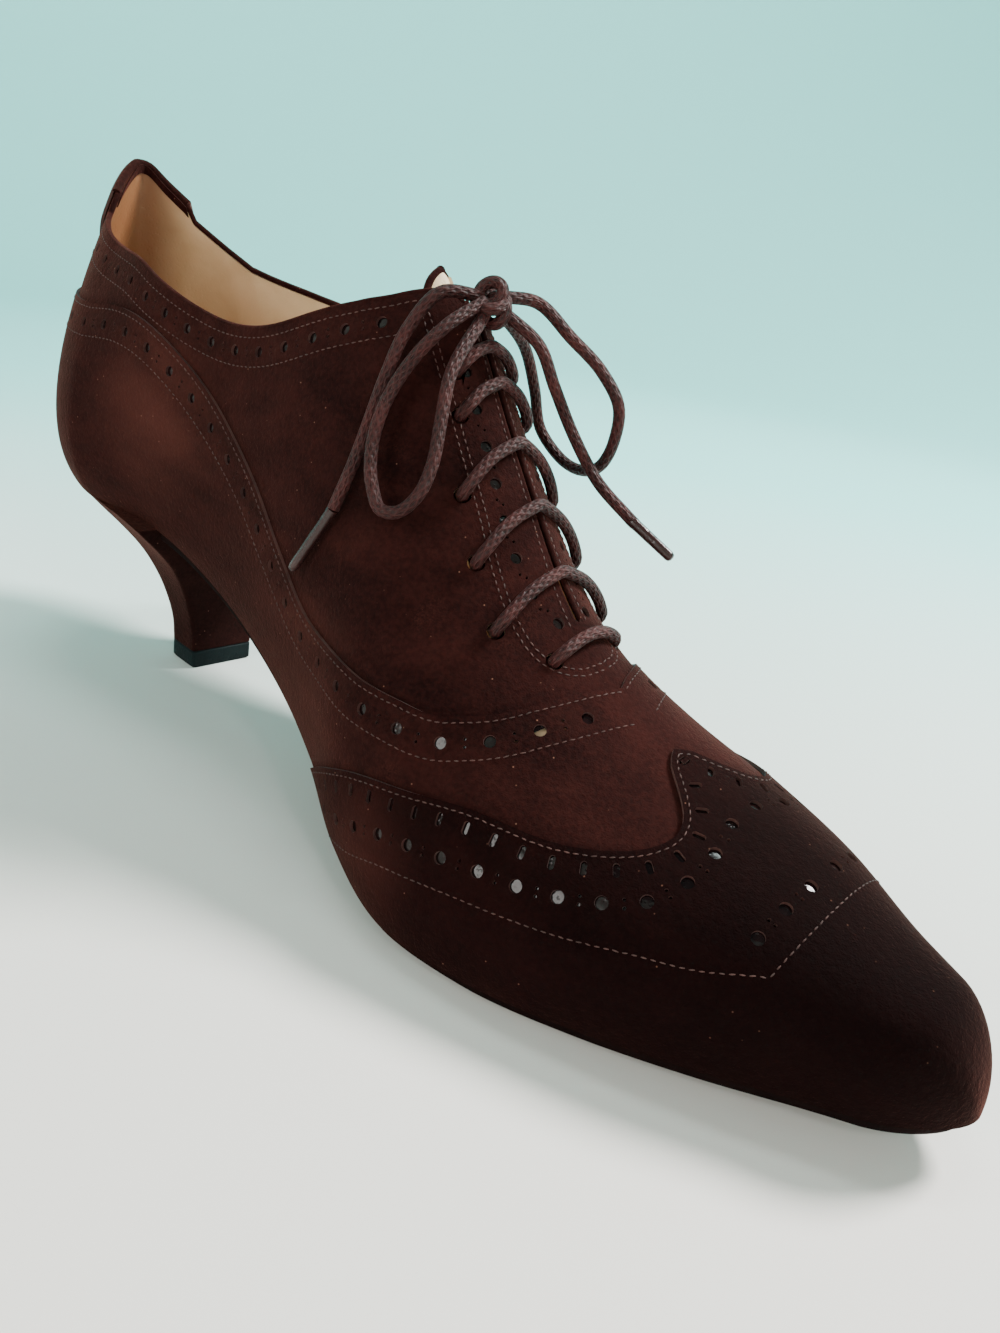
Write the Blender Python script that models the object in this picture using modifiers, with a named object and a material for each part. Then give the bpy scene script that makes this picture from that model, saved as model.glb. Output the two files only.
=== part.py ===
"""Lace-up pump with a covered heel, right shoe.

Metres, +X toward the toe, +Y to the wearer's left, +Z up. The origin is the
centre of the heel tip's floor face. Every leather piece is worked out from one
last surface: last_point(along, up, side) gives a point of it, where along is a
distance forward of the origin, up runs from the feather edge (0) to the centre
line on top (1), and side is -1 for the outer half and +1 for the inner half.
"""

import math
from typing import NamedTuple

import bmesh
import bpy
import numpy as np
from mathutils import Matrix, Vector

# Driving sizes of the last
TOE_REACH = 0.225
SEAT_HEIGHT = 0.0463
INSTEP_HEIGHT = 0.1095
BALL_HALF_WIDTH = 0.037
TOE_ROUND_PLAN = 0.013
TOE_ROUND_SIDE = 0.008

# The heel seat's curve, which turns a quarter circle behind this station
REAR_STATION = -0.012
REAR_ARC = 0.044
REAR_SEAT = 0.0317
REAR_BULGE = 0.0396
REAR_WAIST = 0.0213
REAR_COLLAR = 0.0256
REAR_SEAT_SLOPE = 0.10
REAR_SQUARENESS_SEAT = 0.78
REAR_SQUARENESS_TOP = 1.35

# Leather
WALL = 0.0022
SEAM_STEP = 0.0008
OVERLAY_GAP = 0.0006
OVERLAY_THICKNESS = 0.0007
WING_FOOT = 0.035
TAB_RIM = 0.004
TONGUE_THICKNESS = 0.0016
TONGUE_TOP = 0.0845
TONGUE_ROOT = 0.151
TONGUE_HALF_TOP = 0.0135
TONGUE_HALF_ROOT = 0.018
TONGUE_CORNERS = (0.62, 0.94)
FIT_GAP = 0.0003

# Lacing
LACE_RADIUS = 0.00125
EYELET_RADIUS = 0.0021
LACE_BEND = 0.0021
BAR_CLEARANCE = 0.00095
RUN_CLEARANCE = 0.00045
SLIT_HALF_WIDTH = 0.0012
SLIT_TOP = 0.092
SLIT_END = 0.1335
THROAT = 0.145

# Where the toe's closely set stations begin
VAMP_END = 0.205
NOSE_START = 0.211
NOSE_STATIONS = 8

# Sole and heel
SOLE_THICKNESS = 0.0026
SOLE_EDGE = -0.0003
SOLE_BEVEL = 0.0005
INSOLE_THICKNESS = 0.0018
INSOLE_INSET = 0.0009
BREAST_TOP = 0.013
SEAT_MARGIN = 0.0005
TIP_HEIGHT = 0.005
TIP_BREAST = 0.0085
TIP_TURN = 0.001
TIP_BACK = 0.0075
TIP_HALF_WIDTH = 0.0093
HEEL_CORNER = 0.0008


class Section(NamedTuple):
    """One upright section of the last."""

    at: float  # share of TOE_REACH
    seat: float  # feather edge's height, share of SEAT_HEIGHT
    rise: float  # feather edge to top, share of INSTEP_HEIGHT
    outer: float  # half width at the feather edge, share of BALL_HALF_WIDTH
    inner: float
    bulge: float  # how far the side swells, share of the half width
    shoulder: float  # height of that swelling, share of the rise
    crown: float  # how broad the top is, share of the half width
    swing: float  # centre line's offset, share of BALL_HALF_WIDTH
    lean: float  # slope across the top


SECTIONS = (
    Section(-0.053, 1.000, 0.918, 0.754, 0.662, 1.72, 0.28, 0.04, -0.035, 0.00),
    Section(0.058, 0.946, 0.950, 0.644, 0.640, 1.62, 0.29, 0.75, 0.004, 0.00),
    Section(0.178, 0.745, 0.989, 0.573, 0.578, 1.60, 0.33, 0.80, 0.027, 0.00),
    Section(0.289, 0.514, 1.002, 0.607, 0.595, 1.60, 0.36, 0.73, 0.035, 0.01),
    Section(0.400, 0.294, 0.922, 0.752, 0.686, 1.40, 0.36, 0.54, 0.028, 0.03),
    Section(0.489, 0.152, 0.732, 0.966, 0.830, 1.23, 0.36, 0.42, 0.035, 0.06),
    Section(0.578, 0.062, 0.547, 1.060, 0.956, 1.16, 0.36, 0.44, 0.018, 0.14),
    Section(0.667, 0.062, 0.407, 1.003, 1.000, 1.15, 0.42, 0.58, 0.022, 0.21),
    Section(0.756, 0.082, 0.326, 0.837, 0.890, 1.15, 0.50, 0.68, 0.030, 0.21),
    Section(0.844, 0.119, 0.273, 0.636, 0.654, 1.12, 0.60, 0.73, 0.050, 0.14),
    Section(0.924, 0.158, 0.200, 0.416, 0.430, 1.12, 0.70, 0.81, 0.066, 0.07),
    Section(1.000, 0.210, 0.142, 0.268, 0.286, 1.12, 0.80, 0.90, 0.090, 0.00),
)


class EdgeRow(NamedTuple):
    """One point of an edge that runs along the last."""

    at: float  # share of TOE_REACH
    outer: float  # up the outer half
    inner: float  # up the inner half


COLLAR = (
    EdgeRow(-0.249, 0.646, 0.646),
    EdgeRow(-0.215, 0.644, 0.642),
    EdgeRow(-0.178, 0.618, 0.612),
    EdgeRow(-0.147, 0.586, 0.584),
    EdgeRow(-0.140, 0.544, 0.543),
    EdgeRow(-0.090, 0.526, 0.508),
    EdgeRow(-0.042, 0.512, 0.492),
    EdgeRow(0.012, 0.496, 0.473),
    EdgeRow(0.050, 0.477, 0.466),
    EdgeRow(0.085, 0.466, 0.467),
    EdgeRow(0.120, 0.461, 0.468),
    EdgeRow(0.182, 0.473, 0.475),
    EdgeRow(0.240, 0.518, 0.500),
    EdgeRow(0.307, 0.620, 0.600),
    EdgeRow(0.337, 0.680, 0.665),
    EdgeRow(0.368, 0.765, 0.755),
    EdgeRow(0.386, 0.843, 0.835),
    EdgeRow(0.398, 0.912, 0.905),
    EdgeRow(0.409, 0.960, 0.960),
)

# Where the vamp and counter panel ends on the quarters
PANEL_EDGE = (
    EdgeRow(-0.249, 0.400, 0.400),
    EdgeRow(-0.090, 0.400, 0.400),
    EdgeRow(0.009, 0.413, 0.413),
    EdgeRow(0.070, 0.400, 0.400),
    EdgeRow(0.115, 0.380, 0.380),
    EdgeRow(0.180, 0.345, 0.345),
    EdgeRow(0.255, 0.300, 0.300),
    EdgeRow(0.310, 0.262, 0.262),
    EdgeRow(0.370, 0.243, 0.243),
    EdgeRow(0.455, 0.313, 0.313),
    EdgeRow(0.520, 0.412, 0.412),
    EdgeRow(0.572, 0.533, 0.533),
    EdgeRow(0.611, 0.700, 0.700),
    EdgeRow(0.633, 0.870, 0.870),
    EdgeRow(0.6444, 1.000, 1.000),
)


class WingRow(NamedTuple):
    """One point of the wing tip's rear edge."""

    up: float
    at: float  # share of TOE_REACH


WING_EDGE = (
    WingRow(0.00, 0.400),
    WingRow(0.17, 0.478),
    WingRow(0.34, 0.564),
    WingRow(0.455, 0.627),
    WingRow(0.557, 0.698),
    WingRow(0.650, 0.737),
    WingRow(0.727, 0.753),
    WingRow(0.800, 0.757),
    WingRow(0.855, 0.751),
    WingRow(0.911, 0.734),
    WingRow(0.959, 0.714),
    WingRow(1.000, 0.706),
)

# How far round the back seam the tab reaches, as a share of REAR_ARC
TAB_EDGE = (
    WingRow(0.412, 0.28),
    WingRow(0.470, 0.38),
    WingRow(0.540, 0.52),
    WingRow(0.580, 0.52),
)


class EyeletPair(NamedTuple):
    """One pair of eyelets and the bar between them."""

    along: float
    spread: float  # from the centre line to each eyelet


EYELETS = (
    EyeletPair(0.0980, 0.0080),
    EyeletPair(0.1022, 0.0096),
    EyeletPair(0.1093, 0.0134),
    EyeletPair(0.1172, 0.0150),
    EyeletPair(0.1260, 0.0160),
    EyeletPair(0.1358, 0.0090),
)


class HeelRow(NamedTuple):
    """One level of the heel block, in shares of the way from the tip to the seat."""

    up: float
    breast: float
    turn: float  # where the back's curve begins
    back: float
    outer: float
    inner: float
    square: float  # 1 is an ellipse, less is squarer


HEEL_LEVELS = (
    HeelRow(0.00, 0.00, 0.00, 0.000, 0.00, 0.00, 0.85),
    HeelRow(0.14, -0.04, 0.02, 0.022, 0.01, 0.01, 0.85),
    HeelRow(0.32, 0.00, 0.07, 0.085, 0.09, 0.11, 0.86),
    HeelRow(0.50, 0.18, 0.18, 0.197, 0.22, 0.27, 0.86),
    HeelRow(0.67, 0.42, 0.35, 0.358, 0.41, 0.49, 0.85),
    HeelRow(0.81, 0.69, 0.57, 0.577, 0.64, 0.71, 0.83),
    HeelRow(0.92, 0.89, 0.82, 0.825, 0.85, 0.89, 0.80),
    HeelRow(1.00, 1.00, 1.00, 1.000, 1.00, 1.00, 0.78),
)

# The bow, as route points in metres
KNOT_CENTRE = Vector((0.0970, 0.0013, 0.1122))
KNOT_RADII = Vector((0.0037, 0.0034, 0.0050))
LOOP_NEAR = (
    (0.0968, -0.0100, 0.1075),
    (0.0940, -0.0162, 0.0992),
    (0.0932, -0.0200, 0.0920),
    (0.0942, -0.0228, 0.0850),
    (0.0976, -0.0247, 0.0780),
    (0.1018, -0.0252, 0.0742),
    (0.1050, -0.0240, 0.0748),
    (0.1068, -0.0212, 0.0782),
    (0.1065, -0.0184, 0.0832),
    (0.1045, -0.0156, 0.0908),
    (0.1020, -0.0125, 0.0985),
)
LOOP_FAR = (
    (0.1004, 0.0100, 0.1135),
    (0.1064, 0.0150, 0.1080),
    (0.1126, 0.0190, 0.1025),
    (0.1166, 0.0212, 0.0965),
    (0.1160, 0.0226, 0.0895),
    (0.1124, 0.0245, 0.0835),
    (0.1060, 0.0270, 0.0805),
    (0.0975, 0.0288, 0.0810),
    (0.0918, 0.0272, 0.0860),
    (0.0912, 0.0235, 0.0950),
    (0.0920, 0.0185, 0.1025),
)
END_NEAR = (
    (0.0920, -0.0078, 0.1130),
    (0.0897, -0.0134, 0.1055),
    (0.0896, -0.0175, 0.0965),
    (0.0895, -0.0204, 0.0878),
    (0.0892, -0.0227, 0.0805),
    (0.0876, -0.0256, 0.0705),
)
AGLET_NEAR_TIP = (0.0796, -0.0287, 0.0556)
END_FAR = (
    (0.1050, 0.0075, 0.1060),
    (0.1072, 0.0115, 0.0985),
    (0.1108, 0.0160, 0.0892),
    (0.1165, 0.0190, 0.0813),
    (0.1250, 0.0220, 0.0750),
)
AGLET_FAR_TIP = (0.1350, 0.0240, 0.0700)
ROUTE_STEP = 0.0042


class Finish(NamedTuple):
    """A plain material."""

    name: str
    colour: tuple
    roughness: float


SUEDE = Finish("suede", (0.052, 0.020, 0.016, 1.0), 0.95)
SUEDE_OVERLAY = Finish("suede_overlay", (0.060, 0.022, 0.017, 1.0), 0.95)
LINING = Finish("lining", (0.62, 0.47, 0.30, 1.0), 0.70)
SOLE_LEATHER = Finish("sole_leather", (0.030, 0.014, 0.012, 1.0), 0.55)
TIP_RUBBER = Finish("tip_rubber", (0.012, 0.018, 0.020, 1.0), 0.45)
LACE = Finish("lace", (0.11, 0.045, 0.040, 1.0), 0.60)
AGLET = Finish("aglet", (0.10, 0.075, 0.070, 1.0), 0.40)


def hermite(knots, values, at):
    """A smooth curve through the rows of a table."""
    knots = np.asarray(knots, float)
    values = np.asarray(values, float)
    gaps = np.diff(knots)
    slopes = np.diff(values) / gaps
    tangents = np.empty(len(knots))
    weighted = slopes[:-1] * gaps[1:] + slopes[1:] * gaps[:-1]
    tangents[1:-1] = weighted / (gaps[1:] + gaps[:-1])
    tangents[0] = slopes[0]
    tangents[-1] = slopes[-1]
    at = np.clip(np.asarray(at, float), knots[0], knots[-1])
    i = np.clip(np.searchsorted(knots, at) - 1, 0, len(knots) - 2)
    t = (at - knots[i]) / gaps[i]
    start = (2 * t**3 - 3 * t**2 + 1) * values[i] + (t**3 - 2 * t**2 + t) * gaps[i] * tangents[i]
    end = (3 * t**2 - 2 * t**3) * values[i + 1] + (t**3 - t**2) * gaps[i] * tangents[i + 1]
    return start + end


def section_value(field, along):
    knots = [row.at * TOE_REACH for row in SECTIONS]
    return hermite(knots, [getattr(row, field) for row in SECTIONS], along)


def edge_value(rows, along, side):
    knots = [row.at * TOE_REACH for row in rows]
    return hermite(knots, [row.outer if side < 0 else row.inner for row in rows], along)


def row_value(rows, up):
    return hermite([row.up for row in rows], [row.at for row in rows], up)


def seat_height(along):
    return SEAT_HEIGHT * section_value("seat", along)


def half_width(along, side):
    return BALL_HALF_WIDTH * section_value("outer" if side < 0 else "inner", along)


def centre_line(along):
    return BALL_HALF_WIDTH * section_value("swing", along)


def last_point(along, up, side):
    """Points of the last's surface."""
    along, up = np.broadcast_arrays(np.asarray(along, float), np.asarray(up, float))
    rear = along < REAR_STATION
    turn = np.where(rear, (REAR_STATION - along) / REAR_ARC, 0.0) * math.pi / 2
    foot = (1 - up) ** 3
    low = 3 * up * (1 - up) ** 2
    high = 3 * up**2 * (1 - up)
    top = up**3
    x = np.where(rear, REAR_STATION, np.minimum(along, TOE_REACH))
    plan = np.clip((x - TOE_REACH + TOE_ROUND_PLAN) / TOE_ROUND_PLAN, 0, 1)
    profile = np.clip((x - TOE_REACH + TOE_ROUND_SIDE) / TOE_ROUND_SIDE, 0, 1)
    half = half_width(x, side) * np.sqrt(np.clip(1 - plan**2, 0, 1))
    rise = INSTEP_HEIGHT * section_value("rise", x) * np.sqrt(np.clip(1 - profile**2, 0, 1))
    crown = half * section_value("crown", x)
    across = half * foot + half * section_value("bulge", x) * low + crown * high
    reach = REAR_SEAT * foot + REAR_BULGE * low + REAR_WAIST * high + REAR_COLLAR * top
    square = REAR_SQUARENESS_SEAT + (REAR_SQUARENESS_TOP - REAR_SQUARENESS_SEAT) * up
    across = across * np.where(rear, np.clip(np.cos(turn), 0, 1) ** square, 1.0)
    seat = seat_height(x) + np.where(rear, REAR_SEAT * np.sin(turn) * REAR_SEAT_SLOPE, 0.0)
    height = seat + rise * (section_value("shoulder", x) * low + high + top)
    height = height + side * np.where(rear, 0.0, section_value("lean", x)) * crown * high
    return np.stack([x - reach * np.sin(turn), centre_line(x) + side * across, height], -1)


def last_normal(along, up, side):
    """Unit vectors pointing out of the last's surface."""
    along, up = np.broadcast_arrays(np.asarray(along, float), np.asarray(up, float))
    tiny = 1e-4
    nose = along > TOE_REACH - tiny
    held = np.minimum(along, TOE_REACH - 2 * tiny)
    held_up = np.clip(up, 0.002, 1.0)
    ahead = last_point(held + tiny / 2, held_up, side)
    behind = last_point(np.maximum(held - tiny / 2, REAR_STATION - REAR_ARC), held_up, side)
    above = last_point(held, np.minimum(held_up + tiny, 1.0), side)
    below = last_point(held, held_up - tiny, side)
    normal = np.cross(ahead - behind, above - below) * -side
    normal[along <= REAR_STATION - REAR_ARC + tiny, 1] = 0.0
    normal /= np.linalg.norm(normal, axis=-1, keepdims=True)
    normal[nose] = (1.0, 0.0, 0.0)
    return normal


def skin_point(along, up, side, out):
    """Points at a distance out from the last's surface."""
    out = np.asarray(out, float)[..., None]
    return last_point(along, up, side) + out * last_normal(along, up, side)


def up_at_spread(along, spread, side):
    """How far up the last is where it is spread from the centre line."""
    low = 0.5
    high = 1.0
    for _ in range(40):
        middle = (low + high) / 2
        offset = abs(last_point(along, middle, side)[1] - centre_line(along))
        if offset > spread:
            low = middle
        else:
            high = middle
    return (low + high) / 2


def link(mesh, name, finish, collection):
    obj = bpy.data.objects.new(name, mesh)
    collection.objects.link(obj)
    material = bpy.data.materials.get(finish.name) or bpy.data.materials.new(finish.name)
    material.use_nodes = True
    shader = material.node_tree.nodes["Principled BSDF"]
    shader.inputs["Base Color"].default_value = finish.colour
    shader.inputs["Roughness"].default_value = finish.roughness
    mesh.materials.append(material)
    return obj


def finish_solid(bm, name, finish, collection):
    """Turns a bmesh into a smooth-shaded object with its faces pointing out."""
    bmesh.ops.remove_doubles(bm, verts=bm.verts, dist=1e-5)
    bmesh.ops.dissolve_degenerate(bm, dist=1e-6, edges=bm.edges)
    bmesh.ops.recalc_face_normals(bm, faces=bm.faces)
    mesh = bpy.data.meshes.new(name)
    bm.to_mesh(mesh)
    bm.free()
    mesh.shade_smooth()
    mesh.set_sharp_from_angle(angle=math.radians(40))
    return link(mesh, name, finish, collection)


def add_rows(bm, points):
    return [[bm.verts.new(point) for point in row] for row in points]


def add_face(bm, corners):
    """Adds a face, leaving out corners that meet at a point."""
    kept = []
    for vert in corners:
        if all((vert.co - other.co).length > 1e-7 for other in kept):
            kept.append(vert)
    if len(kept) > 2:
        bm.faces.new(kept)


def bridge(bm, first, second):
    for k in range(len(first) - 1):
        add_face(bm, (first[k], first[k + 1], second[k + 1], second[k]))


def loft(name, rings, finish, collection):
    """A closed solid through rings of the same count, with flat ends."""
    bm = bmesh.new()
    rows = add_rows(bm, rings)
    for first, second in zip(rows, rows[1:]):
        bridge(bm, first + first[:1], second + second[:1])
    add_face(bm, rows[0])
    add_face(bm, rows[-1])
    return finish_solid(bm, name, finish, collection)


def sheet(name, halves, thickness, finish, collection):
    """A skin made of two grids that meet on the centre line, thickened outward."""
    bm = bmesh.new()
    for side, grid in halves:
        rows = add_rows(bm, grid if side < 0 else grid[::-1])
        for first, second in zip(rows, rows[1:]):
            bridge(bm, first, second)
    bmesh.ops.remove_doubles(bm, verts=bm.verts, dist=1e-5)
    bmesh.ops.dissolve_degenerate(bm, dist=1e-6, edges=bm.edges)
    bmesh.ops.recalc_face_normals(bm, faces=bm.faces)
    mesh = bpy.data.meshes.new(name)
    bm.to_mesh(mesh)
    bm.free()
    obj = link(mesh, name, finish, collection)
    solidify = obj.modifiers.new("thickness", "SOLIDIFY")
    solidify.thickness = thickness
    solidify.offset = 1.0
    mesh.shade_smooth()
    return obj


def toe_stations(start, count):
    """Stations from start to the toe's point, closer together near it."""
    turn = np.linspace(0, math.pi / 2, count)
    return TOE_REACH - (TOE_REACH - start) * (1 - np.sin(turn))


def upper_stations():
    notch = np.array([COLLAR[3].at, COLLAR[4].at]) * TOE_REACH
    tab = np.linspace(REAR_STATION - REAR_ARC, notch[0], 5)
    rear = np.linspace(notch[1], REAR_STATION, 5)
    waist = np.linspace(-0.003, 0.074, 10)
    facing = np.array([0.080, 0.085, 0.0885, SLIT_TOP, 0.097, 0.1025, 0.1085, 0.1145, 0.1205, 0.127])
    throat = np.array([SLIT_END, 0.139, 0.1425, THROAT, 0.149, 0.1545])
    vamp = np.linspace(0.161, VAMP_END, 8)
    nose = toe_stations(NOSE_START, NOSE_STATIONS)
    return np.concatenate([tab, rear, waist, facing, throat, vamp, nose])


def collar_height(along, side):
    """How far up the upper reaches: the collar, the lacing slit, then the centre line."""
    if along < SLIT_TOP:
        return float(edge_value(COLLAR, along, side))
    if along < SLIT_END:
        crown = half_width(along, side) * section_value("crown", along)
        return 1 - SLIT_HALF_WIDTH / (3 * crown)
    return 1.0


def upper_half(bm, side):
    """One half of the upper: outer skin with its step, inner skin and rims."""
    panel_rows = 8
    quarter_rows = 4
    stations = upper_stations()
    panel_up = []
    quarter_up = []
    for along in stations:
        edge = float(edge_value(PANEL_EDGE, along, side)) if along < THROAT else 1.0
        panel_up.append(edge * np.linspace(0, 1, panel_rows + 1))
        top = max(collar_height(along, side), edge)
        quarter_up.append(edge + (top - edge) * np.linspace(0, 1, quarter_rows + 1))
    along = stations[:, None]
    panel_up = np.array(panel_up)
    laced = stations <= THROAT
    quarter_up = np.array(quarter_up)[laced]
    panel = add_rows(bm, skin_point(along, panel_up, side, 0.0))
    quarter = add_rows(bm, skin_point(along[laced], quarter_up, side, -SEAM_STEP))
    panel_inside = add_rows(bm, skin_point(along, panel_up, side, -WALL))
    quarter_inside = add_rows(bm, skin_point(along[laced], quarter_up, side, -WALL))
    for grid in (panel, quarter, panel_inside, quarter_inside):
        for first, second in zip(grid, grid[1:]):
            bridge(bm, first, second)
    bridge(bm, [row[0] for row in panel], [row[0] for row in panel_inside])
    bridge(bm, [row[-1] for row in panel[: len(quarter)]], [row[0] for row in quarter])
    open_rows = [k for k, at in enumerate(stations) if at <= SLIT_END]
    bridge(bm, [quarter[k][-1] for k in open_rows], [quarter_inside[k][-1] for k in open_rows])


def eyelet_axis(pair, side):
    """An eyelet's place on the last and the direction out of it."""
    up = up_at_spread(pair.along, pair.spread, side)
    return Vector(last_point(pair.along, up, side)), Vector(last_normal(pair.along, up, side))


def make_upper(parts, cutters):
    bm = bmesh.new()
    upper_half(bm, -1)
    upper_half(bm, 1)
    upper = finish_solid(bm, "upper", SUEDE, parts)
    holes = bmesh.new()
    for pair in EYELETS:
        for side in (-1, 1):
            place, outward = eyelet_axis(pair, side)
            turn = outward.to_track_quat("Z", "Y").to_matrix().to_4x4()
            bmesh.ops.create_cone(
                holes,
                cap_ends=True,
                segments=12,
                radius1=EYELET_RADIUS,
                radius2=EYELET_RADIUS,
                depth=4 * WALL,
                matrix=Matrix.Translation(place - outward * WALL / 2) @ turn,
            )
    mesh = bpy.data.meshes.new("eyelet_cutters")
    holes.to_mesh(mesh)
    holes.free()
    cutter = bpy.data.objects.new("eyelet_cutters", mesh)
    cutter.hide_render = True
    cutter.display_type = "WIRE"
    cutters.objects.link(cutter)
    cut = upper.modifiers.new("eyelets", "BOOLEAN")
    cut.operation = "DIFFERENCE"
    cut.solver = "EXACT"
    cut.object = cutter


def make_wing_tip(parts):
    """The toe overlay, from its W-shaped rear edge to the toe's point."""
    nose = toe_stations(NOSE_START, NOSE_STATIONS)
    halves = []
    for side in (-1, 1):
        ups = np.linspace(WING_FOOT, 1.0, 13)
        start = TOE_REACH * row_value(WING_EDGE, ups)[None, :]
        body = start + (VAMP_END - start) * np.linspace(0, 1, 14)[:, None]
        along = np.concatenate([body, np.broadcast_to(nose[:, None], (len(nose), len(ups)))])
        up = np.broadcast_to(ups[None, :], along.shape)
        halves.append((side, skin_point(along, up, side, OVERLAY_GAP)))
    sheet("wing_tip", halves, OVERLAY_THICKNESS, SUEDE_OVERLAY, parts)


def make_back_tab(parts):
    """The raised tab over the top of the back seam."""
    halves = []
    for side in (-1, 1):
        ups = np.linspace(TAB_EDGE[0].up, TAB_EDGE[-1].up, 6)
        reach = REAR_ARC * row_value(TAB_EDGE, ups)
        along = REAR_STATION - REAR_ARC + reach[None, :] * np.linspace(0, 1, 7)[:, None]
        top = edge_value(COLLAR, along, side) + TAB_RIM
        up = ups[0] + (top - ups[0]) * np.linspace(0, 1, 6)[None, :]
        halves.append((side, skin_point(along, up, side, OVERLAY_GAP - SEAM_STEP)))
    sheet("back_tab", halves, OVERLAY_THICKNESS, SUEDE_OVERLAY, parts)


def make_tongue(parts):
    """The tongue, below the lace's runs and sewn in under the vamp."""
    below_runs = WALL + RUN_CLEARANCE + 2 * LACE_RADIUS + 2 * FIT_GAP
    sewn = WALL + FIT_GAP
    stations = np.linspace(TONGUE_TOP, TONGUE_ROOT, 12)
    share = np.clip((stations - SLIT_END) / (TONGUE_ROOT - SLIT_END), 0, 1)
    depth = below_runs + (sewn - below_runs) * share + TONGUE_THICKNESS
    reach = np.linspace(TONGUE_HALF_TOP, TONGUE_HALF_ROOT, 12)
    reach[:2] *= TONGUE_CORNERS
    halves = []
    for side in (-1, 1):
        grid = []
        for k, along in enumerate(stations):
            edge = up_at_spread(along, reach[k], side)
            ups = np.linspace(edge, 1, 6)
            grid.append(skin_point(along, ups, side, -depth[k]))
        halves.append((side, np.array(grid)))
    sheet("tongue", halves, TONGUE_THICKNESS, SUEDE, parts)


def sole_half_width(along, side, margin):
    """Half width of a sole layer whose edge stands margin outside the last."""
    if along < REAR_STATION:
        turn = math.asin(min((REAR_STATION - along) / (REAR_SEAT + margin), 1.0))
        base = half_width(REAR_STATION, side) + margin
        return base * math.cos(turn) ** REAR_SQUARENESS_SEAT
    start = TOE_REACH - TOE_ROUND_PLAN
    share = max((along - start) / (TOE_ROUND_PLAN + margin), 0.0)
    return (half_width(along, side) + margin) * math.sqrt(max(1 - share**2, 0.0))


def layer_ring(along, margin, top, bottom, bevel):
    """One ring of a sole layer, with its lower corners eased."""
    middle = float(centre_line(max(along, REAR_STATION)))
    outer = middle - float(sole_half_width(along, -1, margin))
    inner = middle + float(sole_half_width(along, 1, margin))
    ease = min(bevel, (inner - outer) / 4)
    return [
        (along, outer, top),
        (along, middle, top),
        (along, inner, top),
        (along, inner, bottom + ease),
        (along, inner - ease, bottom),
        (along, middle, bottom),
        (along, outer + ease, bottom),
        (along, outer, bottom + ease),
    ]


def make_outsole(parts):
    turn = np.linspace(0, math.radians(85), 9)
    nose = TOE_REACH - TOE_ROUND_PLAN + (TOE_ROUND_PLAN + SOLE_EDGE) * np.sin(turn)
    rings = []
    for along in np.concatenate([np.linspace(BREAST_TOP + 2 * FIT_GAP, 0.205, 30), nose]):
        top = float(seat_height(along)) - FIT_GAP
        bottom = max(top - SOLE_THICKNESS, 0.0)
        rings.append(layer_ring(along, SOLE_EDGE, top, bottom, SOLE_BEVEL))
    loft("outsole", rings, SOLE_LEATHER, parts)


def make_insole(parts):
    margin = -(WALL + INSOLE_INSET)
    rear = REAR_STATION - (REAR_SEAT + margin) * np.sin(np.linspace(math.radians(84), 0, 6))
    turn = np.linspace(0, math.radians(84), 7)
    nose = TOE_REACH - TOE_ROUND_PLAN + (TOE_ROUND_PLAN + margin) * np.sin(turn)
    rings = []
    for along in np.concatenate([rear, np.linspace(-0.002, 0.204, 20), nose]):
        seat = float(seat_height(max(along, REAR_STATION)))
        seat += max(REAR_STATION - along, 0.0) * REAR_SEAT_SLOPE
        rings.append(layer_ring(along, margin, seat + INSOLE_THICKNESS, seat, 0.0003))
    loft("insole", rings, LINING, parts)


def between(tip, seat, share):
    return tip + (seat - tip) * share


def heel_ring(row):
    """The outline of one heel level, from the outer breast corner round the back."""
    seat_middle = float(centre_line(REAR_STATION))
    seat_outer = seat_middle - float(half_width(REAR_STATION, -1)) + SEAT_MARGIN
    seat_inner = seat_middle + float(half_width(REAR_STATION, 1)) - SEAT_MARGIN
    middle = seat_middle * row.up
    breast = between(TIP_BREAST, BREAST_TOP, row.breast)
    bend = between(-TIP_TURN, REAR_STATION, row.turn)
    heel_back = between(-TIP_BACK, REAR_STATION - REAR_SEAT + SEAT_MARGIN, row.back)
    left = between(-TIP_HALF_WIDTH, seat_outer, row.outer)
    right = between(TIP_HALF_WIDTH, seat_inner, row.inner)
    turns = np.linspace(0, math.pi / 2, 9)[:-1]
    curve = [(bend - (bend - heel_back) * math.sin(a), math.cos(a) ** row.square) for a in turns]
    plan = [(breast, left + HEEL_CORNER), (breast - HEEL_CORNER, left)]
    plan += [(x, middle + (left - middle) * share) for x, share in curve]
    plan += [(heel_back, middle)]
    plan += [(x, middle + (right - middle) * share) for x, share in curve[::-1]]
    plan += [(breast - HEEL_CORNER, right), (breast, right - HEEL_CORNER), (breast, middle)]
    return plan


def seat_underside(x):
    along = max(x, REAR_STATION)
    return float(seat_height(along)) + max(REAR_STATION - x, 0.0) * REAR_SEAT_SLOPE - FIT_GAP


def make_heel(parts):
    rings = []
    foot = TIP_HEIGHT + FIT_GAP
    for row in HEEL_LEVELS:
        plan = heel_ring(row)
        rings.append([(x, y, foot + (seat_underside(x) - foot) * row.up) for x, y in plan])
    loft("heel", rings, SUEDE, parts)
    plan = heel_ring(HEEL_LEVELS[0])
    loft("heel_tip", [[(x, y, z) for x, y in plan] for z in (0.0, TIP_HEIGHT)], TIP_RUBBER, parts)


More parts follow.
